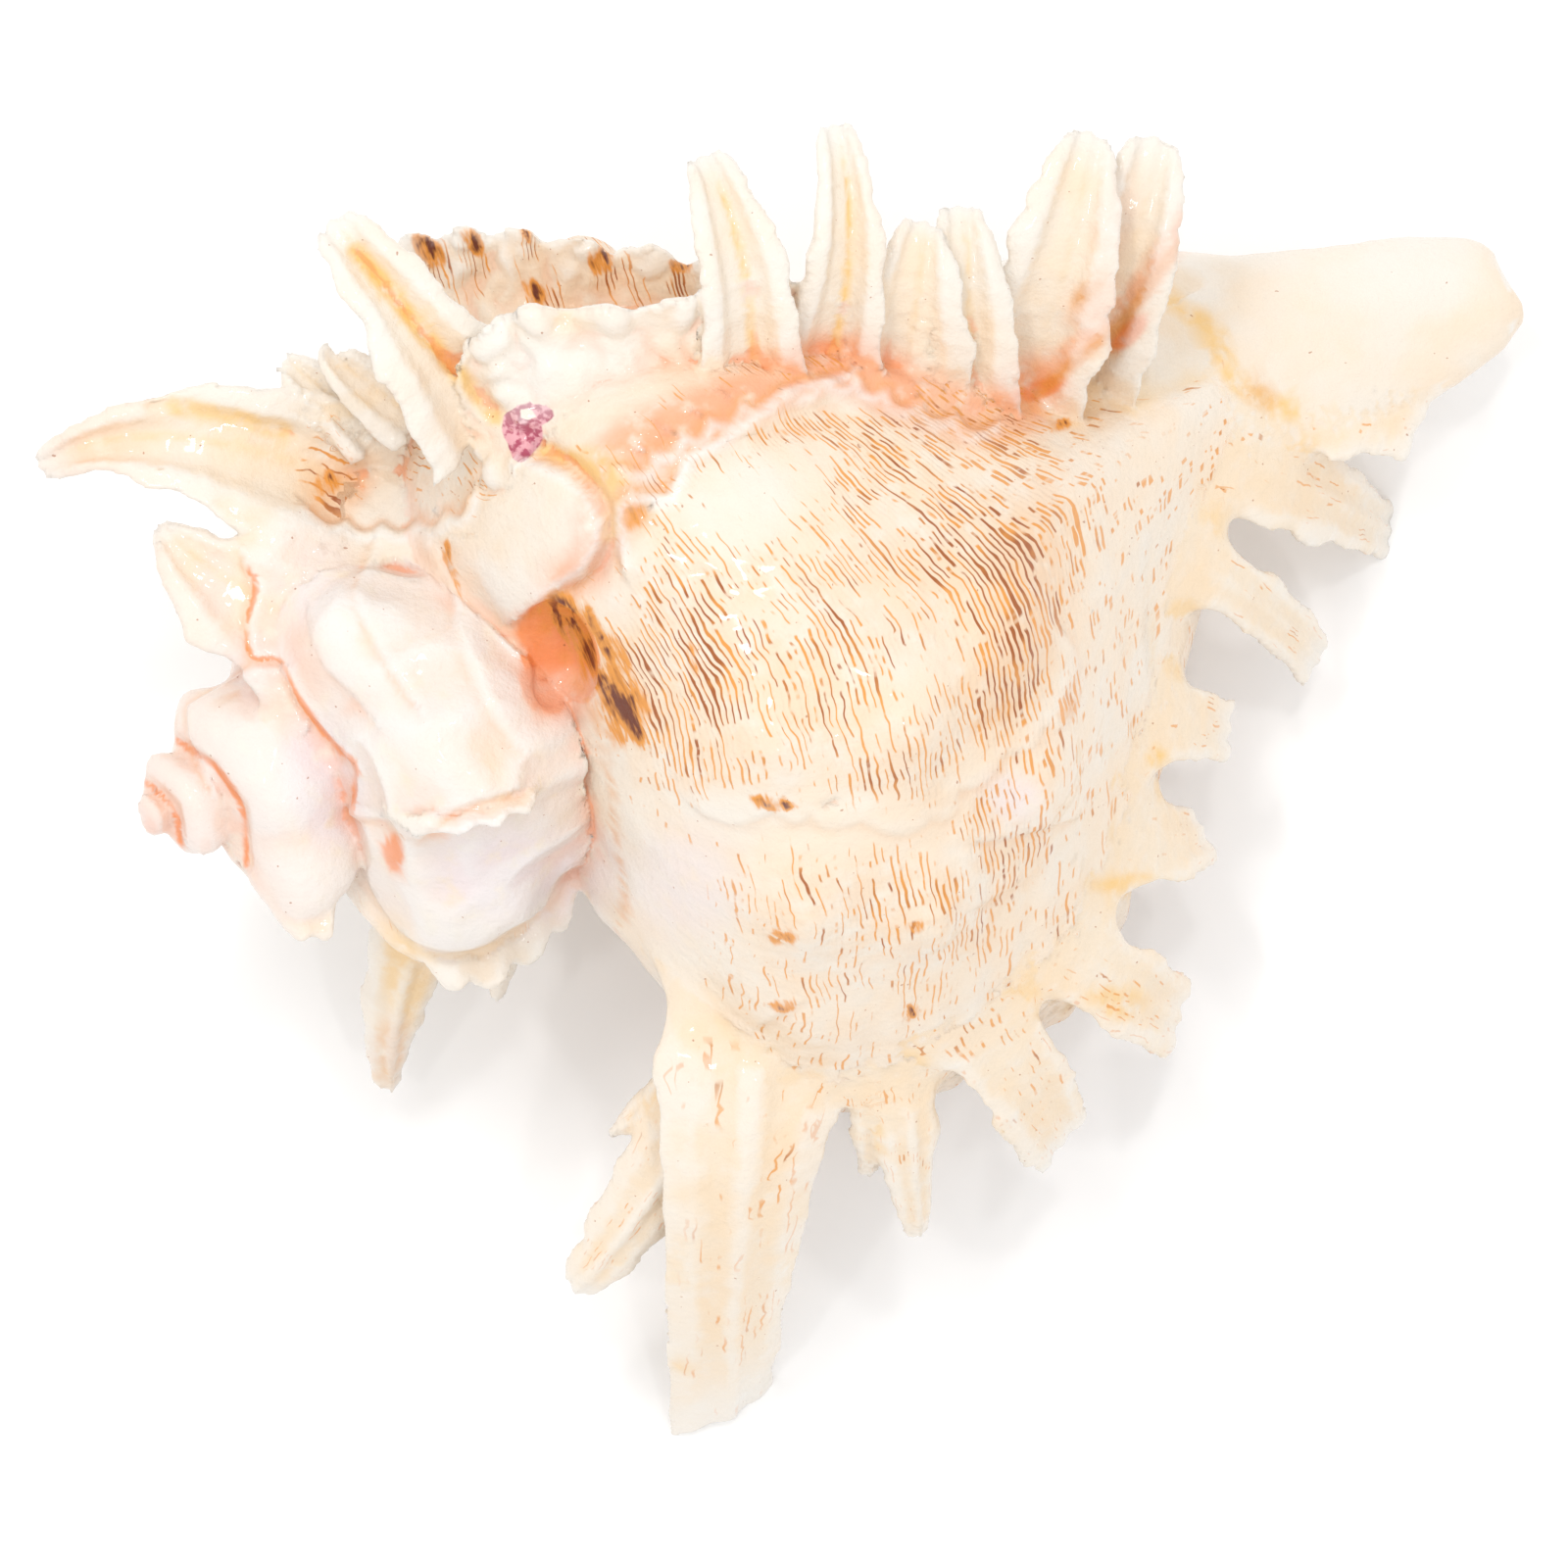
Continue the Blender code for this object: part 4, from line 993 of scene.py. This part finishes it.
def thread_lines(at):
    """The thread that each point lies on, how far round it is, and how slim its dashes are."""
    outline = resample(WHORL_OUTLINE, 200)
    lengths = run_lengths(outline)
    counts = np.cumsum(1 / look_up(lengths, THREADS) * np.gradient(lengths))
    early = np.clip((10 - at.around) / 70, 0, 1.2) * (at.around > -120)
    past = at.past + early * 0.40 * np.maximum(at.past - 15, 0) + 0.5 * wander(at.points, 12, 3)
    on_frond = at.on_frond > 0.5
    cord = np.where(on_frond, 200 + 4 * at.frond + 8 * at.across,
                    np.interp(past, outline[:, 0], counts))
    cord = cord + 0.8 * wander(at.points, 6.0, 4) + 0.3 * wander(at.points, 3.0, 10)
    turn = np.where(on_frond, 40 * at.share, np.radians(at.around) * 46)
    slim = DASH_HALF_WIDTH / look_up(past, THREADS)
    slim = slim * (1 + 0.45 * patches(at.points, DARK_BELT))
    slim = np.where(on_frond, FROND_DASH_HALF_WIDTH, slim)
    return cord, turn, slim


def dash_density(at, body, blotches):
    """How close the brown dashes lie at each point."""
    plan = at.points
    on_body = (BODY_DASHES + FAR_BODY_DASHES * (plan[:, 1] > -4)) * body
    on_fan = (plan[:, 1] > 52) * (plan[:, 2] < 74)
    dash = np.maximum.reduce((patches(plan, DASHES), on_body, LIP_FROND_DASHES * at.on_lip_frond))
    dash *= 1 - patches(plan, BARES)
    dash *= at.up * (0.9 + 0.5 * wander(plan, 6, 4)) * np.maximum.reduce(
        (at.on_whorl, at.on_lip_frond, on_fan, patches(plan, DASHED_SPUR)))
    below = (1 - at.up) * at.last * at.on_whorl * UNDER_DASHES
    dash += below * blotches * flat_steps(at.past, 3, 10)
    return dash * ((1 - at.in_pocket) * (1 - at.on_canal))


def colour_fields(at, hollow):
    """How far each colour reaches at each point, and the lines that the dashes follow."""
    cord, turn, slim = thread_lines(at)
    plan = at.points
    off_canal = 1 - at.on_canal
    out_of_pocket = 1 - at.in_pocket
    under = (1 - at.up) * at.last * at.on_whorl
    blotches = flat_steps(wander(plan, 11.0, 5), -0.1, 0.45)
    worn = 0.5 + 0.5 * flat_steps(wander(plan, 3.0, 8), -0.3, 0.15)
    body = at.last * (at.kind == WHORL) * flat_steps(at.past, 2, 6) * flat_steps(-at.past, -98, -90)
    behind = flat_steps(-plan[:, 0], -36, -20) * flat_steps(plan[:, 1], -22, -6)
    # Painted shade: warm colour in the hollows, where shade falls.
    crease_shade = at.up * flat_steps(hollow, 0.10, 0.55) * off_canal
    suture = np.exp(-(np.maximum(at.past, 0) / 1.8) ** 2) + np.exp(-(at.to_next / 1.4) ** 2)
    suture = np.clip(suture, 0, 1) * at.on_whorl * off_canal
    apex = flat_steps(-at.along, -24, -6)

    stain = at.up * patches(plan, STAINS) + under * UNDER_STAIN * blotches
    umber = at.up * np.maximum(patches(plan, UMBERS), strokes(plan, UMBER_STROKES) * worn)
    rust_and_shadow = at.up * strokes(plan, RUST_STROKES)
    wine = at.up * patches(plan, WINES) * (1 - patches(plan, SCAR_WHITES))
    pearl = np.maximum(at.up * patches(plan, PEARLS), OLD_PEARL * at.older * (1 - at.on_frond))

    # Pink along the seams, at the apex and in the mouth, and pink painted shade in the creases
    # between the seams.
    blush_and_shade = at.up * np.maximum(patches(plan, BLUSHES), strokes(plan, BLUSH_STROKES))
    suture = suture * (1 - at.last * flat_steps(at.around, -60, 0))
    blush_and_shade = np.maximum(blush_and_shade, SUTURE_BLUSH * suture)
    blush_and_shade = np.maximum(blush_and_shade, APEX_BLUSH * apex) + MOUTH_BLUSH * at.in_mouth
    # Painted shade: pink in the creases away from the lip.
    blush_and_shade = np.maximum(blush_and_shade, CREASE_SHADE_BLUSH * crease_shade * behind * (1 - at.upper))

    # Yellow in the grooves and along the edges of the lip's fronds, and yellow painted shade in the
    # other creases.
    clear = np.where(plan[:, 0] > 0, 1, flat_steps(plan[:, 2], 54, 58))
    amber_and_shade = at.up * np.maximum(patches(plan, AMBERS), strokes(plan, AMBER_STROKES) * clear)
    amber_and_shade = np.maximum(amber_and_shade, at.groove * np.exp(-((at.across - 0.1) / 0.10) ** 2))
    rim = flat_steps(np.abs(at.across), 0.4, 0.9) * flat_steps(wander(plan, 7.0, 7), -0.1, 0.4)
    amber_and_shade = np.maximum(amber_and_shade, RIM_AMBER * at.on_lip_frond * rim * off_canal)
    all_over = FROND_AMBER + MORE_ON_THE_LIP * at.on_lip_frond
    amber_and_shade = np.maximum(amber_and_shade, all_over * at.on_frond * off_canal)
    # Painted shade: yellow in the other creases, weaker on the upper fronds.
    amber_and_shade = np.maximum(amber_and_shade, CREASE_SHADE_AMBER * crease_shade * (1 - behind) * (1 - 0.7 * at.upper))

    # Deep orange in the pocket, and orange painted shade in the sharpest creases.
    ember_and_shade = strokes(plan, EMBER_STROKES) * (0.3 + 0.7 * worn)
    ember_and_shade = at.up * np.maximum(patches(plan, EMBERS), ember_and_shade)
    ember_and_shade = np.maximum(ember_and_shade, at.in_pocket * (0.4 + 0.5 * flat_steps(plan[:, 1], 13.5, 16)))
    # Painted shade: orange in the sharpest creases, outside the pocket.
    sharpest_shade = flat_steps(hollow, 0.5, 0.95)
    ember_and_shade = np.maximum(ember_and_shade, CREASE_SHADE_EMBER * at.up * behind * sharpest_shade * out_of_pocket)

    # Pale white on the tips and on the convex edges, a painted highlight along the edge of each
    # flap and a rusty painted shadow under it.
    edges = flat_steps(-hollow, 0.18, 0.6) * off_canal * (1 - body)
    frost_and_highlight = np.maximum(at.on_frond * flat_steps(at.share, 0.8, 1.0), EDGE_FROST * edges)
    frost_and_highlight = np.maximum(frost_and_highlight, at.up * patches(plan, FROSTS)) * out_of_pocket * (1 - umber)
    for line, height, _ in FLAPS:
        apart, beyond = line_distance(plan, line)
        near = at.up * min(1, height) ** 2 * (1 - flat_steps(beyond, 0.3, 2.5))
        # Painted highlight: a pale line along the raised edge of each flap.
        frost_and_highlight = np.maximum(frost_and_highlight, near * np.exp(-((apart - 0.7) / 0.6) ** 2))
        # Painted shadow: a rusty line just under the edge of each flap.
        rust_and_shadow = np.maximum(rust_and_shadow, FLAP_SHADOW * near * np.exp(-((apart + 0.55) / 0.4) ** 2))
    return {"cord": cord, "turn": turn, "dash": dash_density(at, body, blotches), "stain": stain,
            "umber": umber, "blush_and_shade": blush_and_shade, "pearl": pearl, "amber_and_shade": amber_and_shade, "ember_and_shade": ember_and_shade,
            "rust_and_shadow": rust_and_shadow, "frost_and_highlight": frost_and_highlight, "wine": wine, "slim": slim}


def write_fields(mesh, fields):
    """Keeps each field on the mesh, under its own name, for the finish to read."""
    for name, values in fields.items():
        attribute = mesh.attributes.new(name, "FLOAT", "POINT")
        attribute.data.foreach_set("value", np.asarray(values, np.float32))


class Finish:
    """A material, built up from short calls that each add one node."""

    def __init__(self, name):
        self.material = bpy.data.materials.new(name)
        self.material.use_nodes = True
        self.tree = self.material.node_tree
        self.shader = self.tree.nodes["Principled BSDF"]

    def node(self, kind, inputs=(), **settings):
        node = self.tree.nodes.new(kind)
        for name, value in settings.items():
            setattr(node, name, value)
        for key, value in dict(inputs).items():
            self.feed(node.inputs[key], value)
        return node

    def feed(self, socket, value):
        if isinstance(value, bpy.types.NodeSocket):
            self.tree.links.new(value, socket)
        else:
            socket.default_value = value

    def field(self, name):
        return self.node("ShaderNodeAttribute", attribute_name=name).outputs["Fac"]

    def math(self, operation, first, second=0.0):
        return self.node("ShaderNodeMath", {0: first, 1: second}, operation=operation).outputs[0]

    def times(self, first, second):
        return self.math("MULTIPLY", first, second)

    def plus(self, first, second):
        return self.math("ADD", first, second)

    def minus(self, first, second):
        return self.math("SUBTRACT", first, second)

    def vector_math(self, operation, first, second):
        return self.node("ShaderNodeVectorMath", {0: first, 1: second}, operation=operation)

    def between(self, value, low, high):
        """0 where the value is under low, 1 where it is over high."""
        inputs = {"Value": value, "From Min": low, "From Max": high}
        return self.node("ShaderNodeMapRange", inputs, interpolation_type="SMOOTHSTEP").outputs[0]

    def vector(self, x, y, z):
        return self.node("ShaderNodeCombineXYZ", {0: x, 1: y, 2: z}).outputs[0]

    def noise(self, vector, scale, detail=2.0, roughness=0.5):
        inputs = {"Vector": vector, "Scale": scale, "Detail": detail, "Roughness": roughness}
        return self.node("ShaderNodeTexNoise", inputs).outputs[0]

    def mix(self, share, under, over):
        node = self.node("ShaderNodeMix", data_type="RGBA")
        for key, value in ((0, share), (6, under), (7, over)):
            self.feed(node.inputs[key], value)
        return node.outputs[2]

    def bump(self, height, distance, strength, normal=None):
        inputs = {"Height": height, "Distance": distance, "Strength": strength}
        if normal:
            inputs["Normal"] = normal
        return self.node("ShaderNodeBump", inputs).outputs[0]


# The finish: noises in lumps per millimetre, and the heights of its bumps in metres.
SWAY_SCALE, SWAY = 0.55, 0.7
CLOUD_SCALE, MOTTLE_SCALE, STREAK_SCALE, SCAR_SCALE, SPECK_SCALE = 0.09, 0.35, 0.8, 0.9, 1.6
THREAD_BUMP = 0.00009
PITTING_SCALE, PITTING_BUMP = 0.8, 0.0004
ROUGHNESS, SPECULAR, COAT_ROUGHNESS = 0.5, 0.3, 0.06
# A dash shows where its noise passes this limit, less what the density and the drifts take off it.
DASH_LIMIT, DENSITY_GIVES, DRIFT_GIVES = 0.83, 0.33, 0.36


def shell_finish(settings):
    """Glossy shell: cream, flushed and stained, with brown dashes on its fine threads."""
    finish = Finish("Murex shell finish")
    between, field, mix = finish.between, finish.field, finish.mix
    minus, plus, times = finish.minus, finish.plus, finish.times
    middle = finish.node("ShaderNodeTexCoord").outputs["Object"]
    spot = finish.vector_math("MULTIPLY", middle, (1 / MM,) * 3).outputs[0]
    sway = times(finish.noise(spot, SWAY_SCALE, 0.5), SWAY)
    cord = times(plus(field("cord"), sway), settings.threads)
    line = finish.math("FLOOR", cord)
    off_middle = finish.math("ABSOLUTE", minus(finish.math("FRACT", cord), 0.5))
    turn = field("turn")
    clouds = finish.noise(spot, CLOUD_SCALE, 3)
    mottle = finish.noise(spot, MOTTLE_SCALE, 3)

    def drawn_out(thread, per_thread, per_turn, seed, detail, roughness=0.5):
        """Noise that is drawn out along each thread and differs from one to the next."""
        along = finish.vector(times(thread, per_thread), times(turn, per_turn), seed)
        return finish.noise(along, 1.0, detail, roughness)

    # Cream, clouded, with the flushes that follow the whorls; the blush and amber flushes also
    # carry painted shade in the creases.
    colour = mix(between(clouds, 0.35, 0.68), settings.cream, settings.ivory)
    for name, flush in (("pearl", settings.lavender), ("blush_and_shade", settings.coral),
                        ("amber_and_shade", settings.amber_and_shade), ("stain", settings.honey)):
        share = times(field(name), between(mottle, 0.15, 0.55))
        colour = mix(finish.math("MINIMUM", share, 1.0), colour, flush)
    # Deep orange, which also carries the painted shade of the sharpest creases.
    colour = mix(times(between(field("ember_and_shade"), 0.2, 0.7), 0.9), colour, settings.ember_and_shade)

    # Each thread carries its own broken dashes, closest and darkest where the field is strong.
    density = field("dash")
    warmth = times(between(density, 0.1, 0.65), between(mottle, 0.25, 0.6))
    colour = mix(times(warmth, 0.6), colour, settings.apricot)
    broken = drawn_out(line, 7.31, 0.22, 0.0, 2.5, 0.65)
    drifts = drawn_out(cord, 0.08, 0.2, 5.0, 2)
    limit = minus(minus(DASH_LIMIT, times(density, DENSITY_GIVES)), times(drifts, DRIFT_GIVES))
    length = between(minus(broken, limit), -0.02, 0.04)
    thick = between(drawn_out(line, 1.7, 0.12, 9.0, 1), 0.42, 0.72)
    width = times(field("slim"), plus(0.75, thick))
    thin = minus(1.0, between(minus(off_middle, width), -0.06, 0.06))
    dashes = times(times(length, thin), between(density, 0.03, 0.2))
    dark = plus(times(drawn_out(line, 3.7, 0.16, 3.0, 2), 1.3), times(density, 0.4))
    brown = mix(between(dark, 0.80, 1.08), settings.rust_and_shadow, settings.brown)
    strength = plus(0.8, times(between(density, 0.1, 0.7), 0.2))
    colour = mix(times(dashes, strength), colour, brown)

    # Solid dark marks, rusty seams with the painted shadow under each flap, the broken wine-red
    # scar, the pale tips with the painted highlight along each flap, and dark specks.
    across_band, along_band = (finish.vector_math("DOT_PRODUCT", spot, way).outputs["Value"]
                               for way in ((0.93, 0.36, 0.0), (-0.06, 0.14, 0.1)))
    streaks = finish.noise(finish.vector(across_band, along_band, 0.0), STREAK_SCALE, 3, 0.6)
    umber = times(field("umber"), plus(0.3, between(streaks, 0.38, 0.64)))
    colour = mix(between(umber, 0.04, 0.4), colour, settings.rust_and_shadow)
    colour = mix(between(umber, 0.38, 1.05), colour, settings.umber)
    # Rusty seams, and the rusty painted shadow under each flap.
    colour = mix(field("rust_and_shadow"), colour, settings.rust_and_shadow)
    grain = between(finish.noise(spot, SCAR_SCALE, 3), 0.42, 0.58)
    scar = mix(grain, settings.wine, settings.rose)
    colour = mix(between(field("wine"), 0.3, 0.45), colour, scar)
    # Pale tips and edges, and the painted highlight along each flap's edge.
    colour = mix(times(field("frost_and_highlight"), 0.6), colour, settings.frost_and_highlight)
    specks = between(finish.noise(spot, SPECK_SCALE, 0), 0.862, 0.872)
    colour = mix(times(specks, 0.6), colour, settings.brown)

    thread = times(between(off_middle, 0.45, 0.05), between(density, 0.28, 0.5))
    normal = finish.bump(thread, THREAD_BUMP, 0.5)
    pitting = finish.noise(spot, PITTING_SCALE, 3, 0.65)
    normal = finish.bump(pitting, PITTING_BUMP, 0.6, normal)
    shader = finish.shader
    finish.feed(shader.inputs["Base Color"], colour)
    finish.feed(shader.inputs["Normal"], normal)
    shader.inputs["Roughness"].default_value = ROUGHNESS
    shader.inputs["Coat Weight"].default_value = settings.gloss
    shader.inputs["Coat Roughness"].default_value = COAT_ROUGHNESS
    shader.inputs["Specular IOR Level"].default_value = SPECULAR
    return finish.material


def tint(name, description, colour):
    """A colour that a user can change."""
    return bpy.props.FloatVectorProperty(name=name, description=description, size=4,
                                         default=colour + (1.0,), subtype="COLOR", min=0.0, max=1.0)


class ShellSettings(bpy.types.PropertyGroup):
    fineness: bpy.props.FloatProperty(
        name="Fineness", description="Size of the cells that the growth is fused in",
        default=0.00058, min=0.0004, max=0.002, unit="LENGTH")
    triangles: bpy.props.IntProperty(
        name="Triangles", description="How many triangles the shell keeps",
        default=188000, min=20000)
    threads: bpy.props.FloatProperty(
        name="Threads", description="Number of fine spiral threads, as a share of the usual number",
        default=1.0, min=0.2, max=3.0)
    gloss: bpy.props.FloatProperty(
        name="Gloss", description="How strong the clear gloss over the shell is",
        default=0.55, min=0.0, max=1.0, subtype="FACTOR")
    cream: tint("Cream", "Colour of most of the shell", (0.80, 0.665, 0.52))
    ivory: tint("Ivory", "Paler colour that clouds the cream", (0.775, 0.70, 0.605))
    apricot: tint("Apricot", "Warm colour between the closest dashes", (0.79, 0.57, 0.38))
    lavender: tint("Lavender", "Cool flush on the older whorls", (0.76, 0.665, 0.675))
    # Coral, amber and ember also colour the painted shade in the creases.
    coral: tint("Coral", "Pink along the seams and in the mouth", (0.81, 0.38, 0.215))
    amber_and_shade: tint("Amber", "Yellow in the grooves of the fronds", (0.818, 0.51, 0.158))
    ember_and_shade: tint("Ember", "Deep orange in the pocket and the sutures", (0.81, 0.246, 0.0704))
    honey: tint("Honey", "Soft brown stains", (0.686, 0.334, 0.114))
    # Rust also colours the painted shadow under each flap.
    rust_and_shadow: tint("Rust", "Lighter colour of the dashes and seams", (0.72, 0.29, 0.05))
    brown: tint("Brown", "Darker colour of the dashes and spots", (0.34, 0.09, 0.012))
    umber: tint("Umber", "Darkest marks", (0.13, 0.022, 0.006))
    wine: tint("Wine", "Colour of the broken scar", (0.405, 0.0616, 0.114))
    rose: tint("Rose", "Paler colour of the broken scar", (0.74, 0.36, 0.40))
    # Frost also colours the painted highlight along each flap's edge.
    frost_and_highlight: tint("Frost", "Pale translucent tips of the fronds", (0.792, 0.792, 0.774))


class StageSettings(bpy.types.PropertyGroup):
    view_width: bpy.props.FloatProperty(
        name="View width", description="Width that the camera takes in at the shell",
        default=0.192, min=0.05, unit="LENGTH")
    camera_height: bpy.props.FloatProperty(
        name="Camera height", description="Height of the camera over the middle of the shell",
        default=2.5, min=0.5, unit="LENGTH")
    floor_size: bpy.props.FloatProperty(
        name="Floor size", description="Length of each side of the floor",
        default=3.0, min=0.5, unit="LENGTH")
    floor_colour: tint("Floor", "Colour of the plain floor", (0.95, 0.95, 0.95))
    light: bpy.props.FloatProperty(
        name="Light", description="Strength of the soft light all round", default=1.01, min=0.0)


# The lamps over the shell: (name, place, size, power). The key lamp leaves no spot in the gloss.
LAMPS = (
    ("key", (-0.25, 0.35, 1.0), 0.25, 1.7), ("glint", (0.12, 0.3, 1.0), 0.06, 0.8),
    ("left glint", (-0.3, -0.1, 1.0), 0.055, 0.6), ("near glint", (0.2, -0.35, 1.0), 0.055, 0.6),
    ("far glint", (-0.2, 0.45, 1.0), 0.055, 0.6),
)
FLOOR_ROUGHNESS = 0.9


class SHELL_OT_grow(bpy.types.Operator):
    """Grow the branched murex shell, with its relief and its finish"""

    bl_idname = "shell.grow"
    bl_label = "Grow Shell"

    def execute(self, context):
        settings = context.scene.shell_settings
        growth = Growth()
        grow_whorls(growth)
        grow_canal(growth)
        for sheet in SHEETS:
            grow_sheet(growth, *sheet)
        for row in RUFFLES:
            grow_ruffle(growth, *row)
        facings = (-BACK,) * len(LIP_FRONDS + UNDER_FRONDS) + (BACK,) * len(UPPER_FRONDS)
        for number, row in enumerate(LIP_FRONDS + UNDER_FRONDS + UPPER_FRONDS):
            grow_frond(growth, number, *row, facings[number])
        mesh = fused_mesh(growth, settings.fineness / MM)
        points, _ = read_points(mesh)
        share = np.max([stroke(points, line, SOFT_REACH, strength)
                        for line, strength in SOFT_LINES], axis=0)
        mesh.vertices.foreach_set("co", softened(mesh, share, SOFT_ROUNDS).ravel())
        mesh.update()
        points, normals = read_points(mesh)
        points += normals * relief(Places(growth, points, normals))[:, None]
        mesh.vertices.foreach_set("co", points.ravel())
        mesh = thinned(mesh, settings.triangles)
        points, normals = read_points(mesh)
        smoothed = softened(mesh, np.ones(len(points)), HOLLOW_ROUNDS)
        hollow = np.sum((smoothed - points) * normals, axis=1)
        write_fields(mesh, colour_fields(Places(growth, points, normals), hollow))
        points = (points + FRAME_SHIFT) * MM
        points[:, 2] = np.maximum(points[:, 2], 0)
        mesh.vertices.foreach_set("co", points.ravel())
        mesh.shade_smooth()
        mesh.materials.clear()
        mesh.materials.append(shell_finish(settings))
        mesh.name = "murex_shell"
        shell = new_object("murex_shell", mesh)
        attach(shell, "root")
        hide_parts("shell")
        return {"FINISHED"}


class SHELL_OT_stage(bpy.types.Operator):
    """Set the plain floor, the soft lights and the camera over the shell"""

    bl_idname = "shell.stage"
    bl_label = "Set Stage"

    def execute(self, context):
        settings = context.scene.stage_settings
        half = settings.floor_size / 2
        corners = ((-half, -half, 0), (half, -half, 0), (half, half, 0), (-half, half, 0))
        mesh = bpy.data.meshes.new("floor")
        mesh.from_pydata(corners, [], [(0, 1, 2, 3)])
        finish = Finish("Plain floor")
        finish.shader.inputs["Base Color"].default_value = settings.floor_colour
        finish.shader.inputs["Roughness"].default_value = FLOOR_ROUGHNESS
        mesh.materials.append(finish.material)
        floor = new_object("floor", mesh)

        world = bpy.data.worlds.new("Soft white")
        world.use_nodes = True
        world.node_tree.nodes["Background"].inputs["Color"].default_value = (1, 1, 1, 1)
        world.node_tree.nodes["Background"].inputs["Strength"].default_value = settings.light
        context.scene.world = world
        low, high = (Vector(corner) for corner in CAD_BOX)
        middle = (low + high) / 2
        for name, spot, size, power in LAMPS:
            light = bpy.data.lights.new(name, "AREA")
            light.size = size
            light.energy = power
            lamp = new_object(name, light)
            lamp.location = spot
            lamp.rotation_euler = (middle - lamp.location).to_track_quat("-Z", "Y").to_euler()
            lamp.visible_glossy = name != "key"

        camera = bpy.data.cameras.new("camera")
        camera.lens = camera.sensor_width * settings.camera_height / settings.view_width
        holder = new_object("camera", camera)
        holder.location = FRAME_SHIFT * MM
        holder.location.z = middle.z + settings.camera_height
        context.scene.camera = holder
        context.scene.view_settings.view_transform = "Standard"
        return {"FINISHED"}


class SHELL_PT_sidebar(bpy.types.Panel):
    bl_idname = "SHELL_PT_sidebar"
    bl_label = "Branched Murex Shell"
    bl_space_type = "VIEW_3D"
    bl_region_type = "UI"
    bl_category = "Shell"

    def draw(self, context):
        for settings, operator in ((context.scene.shell_settings, SHELL_OT_grow),
                                   (context.scene.stage_settings, SHELL_OT_stage)):
            box = self.layout.box()
            for name in settings.__annotations__:
                box.prop(settings, name)
            box.operator(operator.bl_idname)


CLASSES = (ShellSettings, StageSettings, SHELL_OT_grow, SHELL_OT_stage, SHELL_PT_sidebar)


def register():
    for cls in CLASSES:
        bpy.utils.register_class(cls)
    bpy.types.Scene.shell_settings = bpy.props.PointerProperty(type=ShellSettings)
    bpy.types.Scene.stage_settings = bpy.props.PointerProperty(type=StageSettings)


def unregister():
    del bpy.types.Scene.stage_settings
    del bpy.types.Scene.shell_settings
    for cls in reversed(CLASSES):
        bpy.utils.unregister_class(cls)


def main():
    register()
    bpy.ops.shell.grow()
    bpy.ops.shell.stage()


if __name__ == "__main__":
    main()
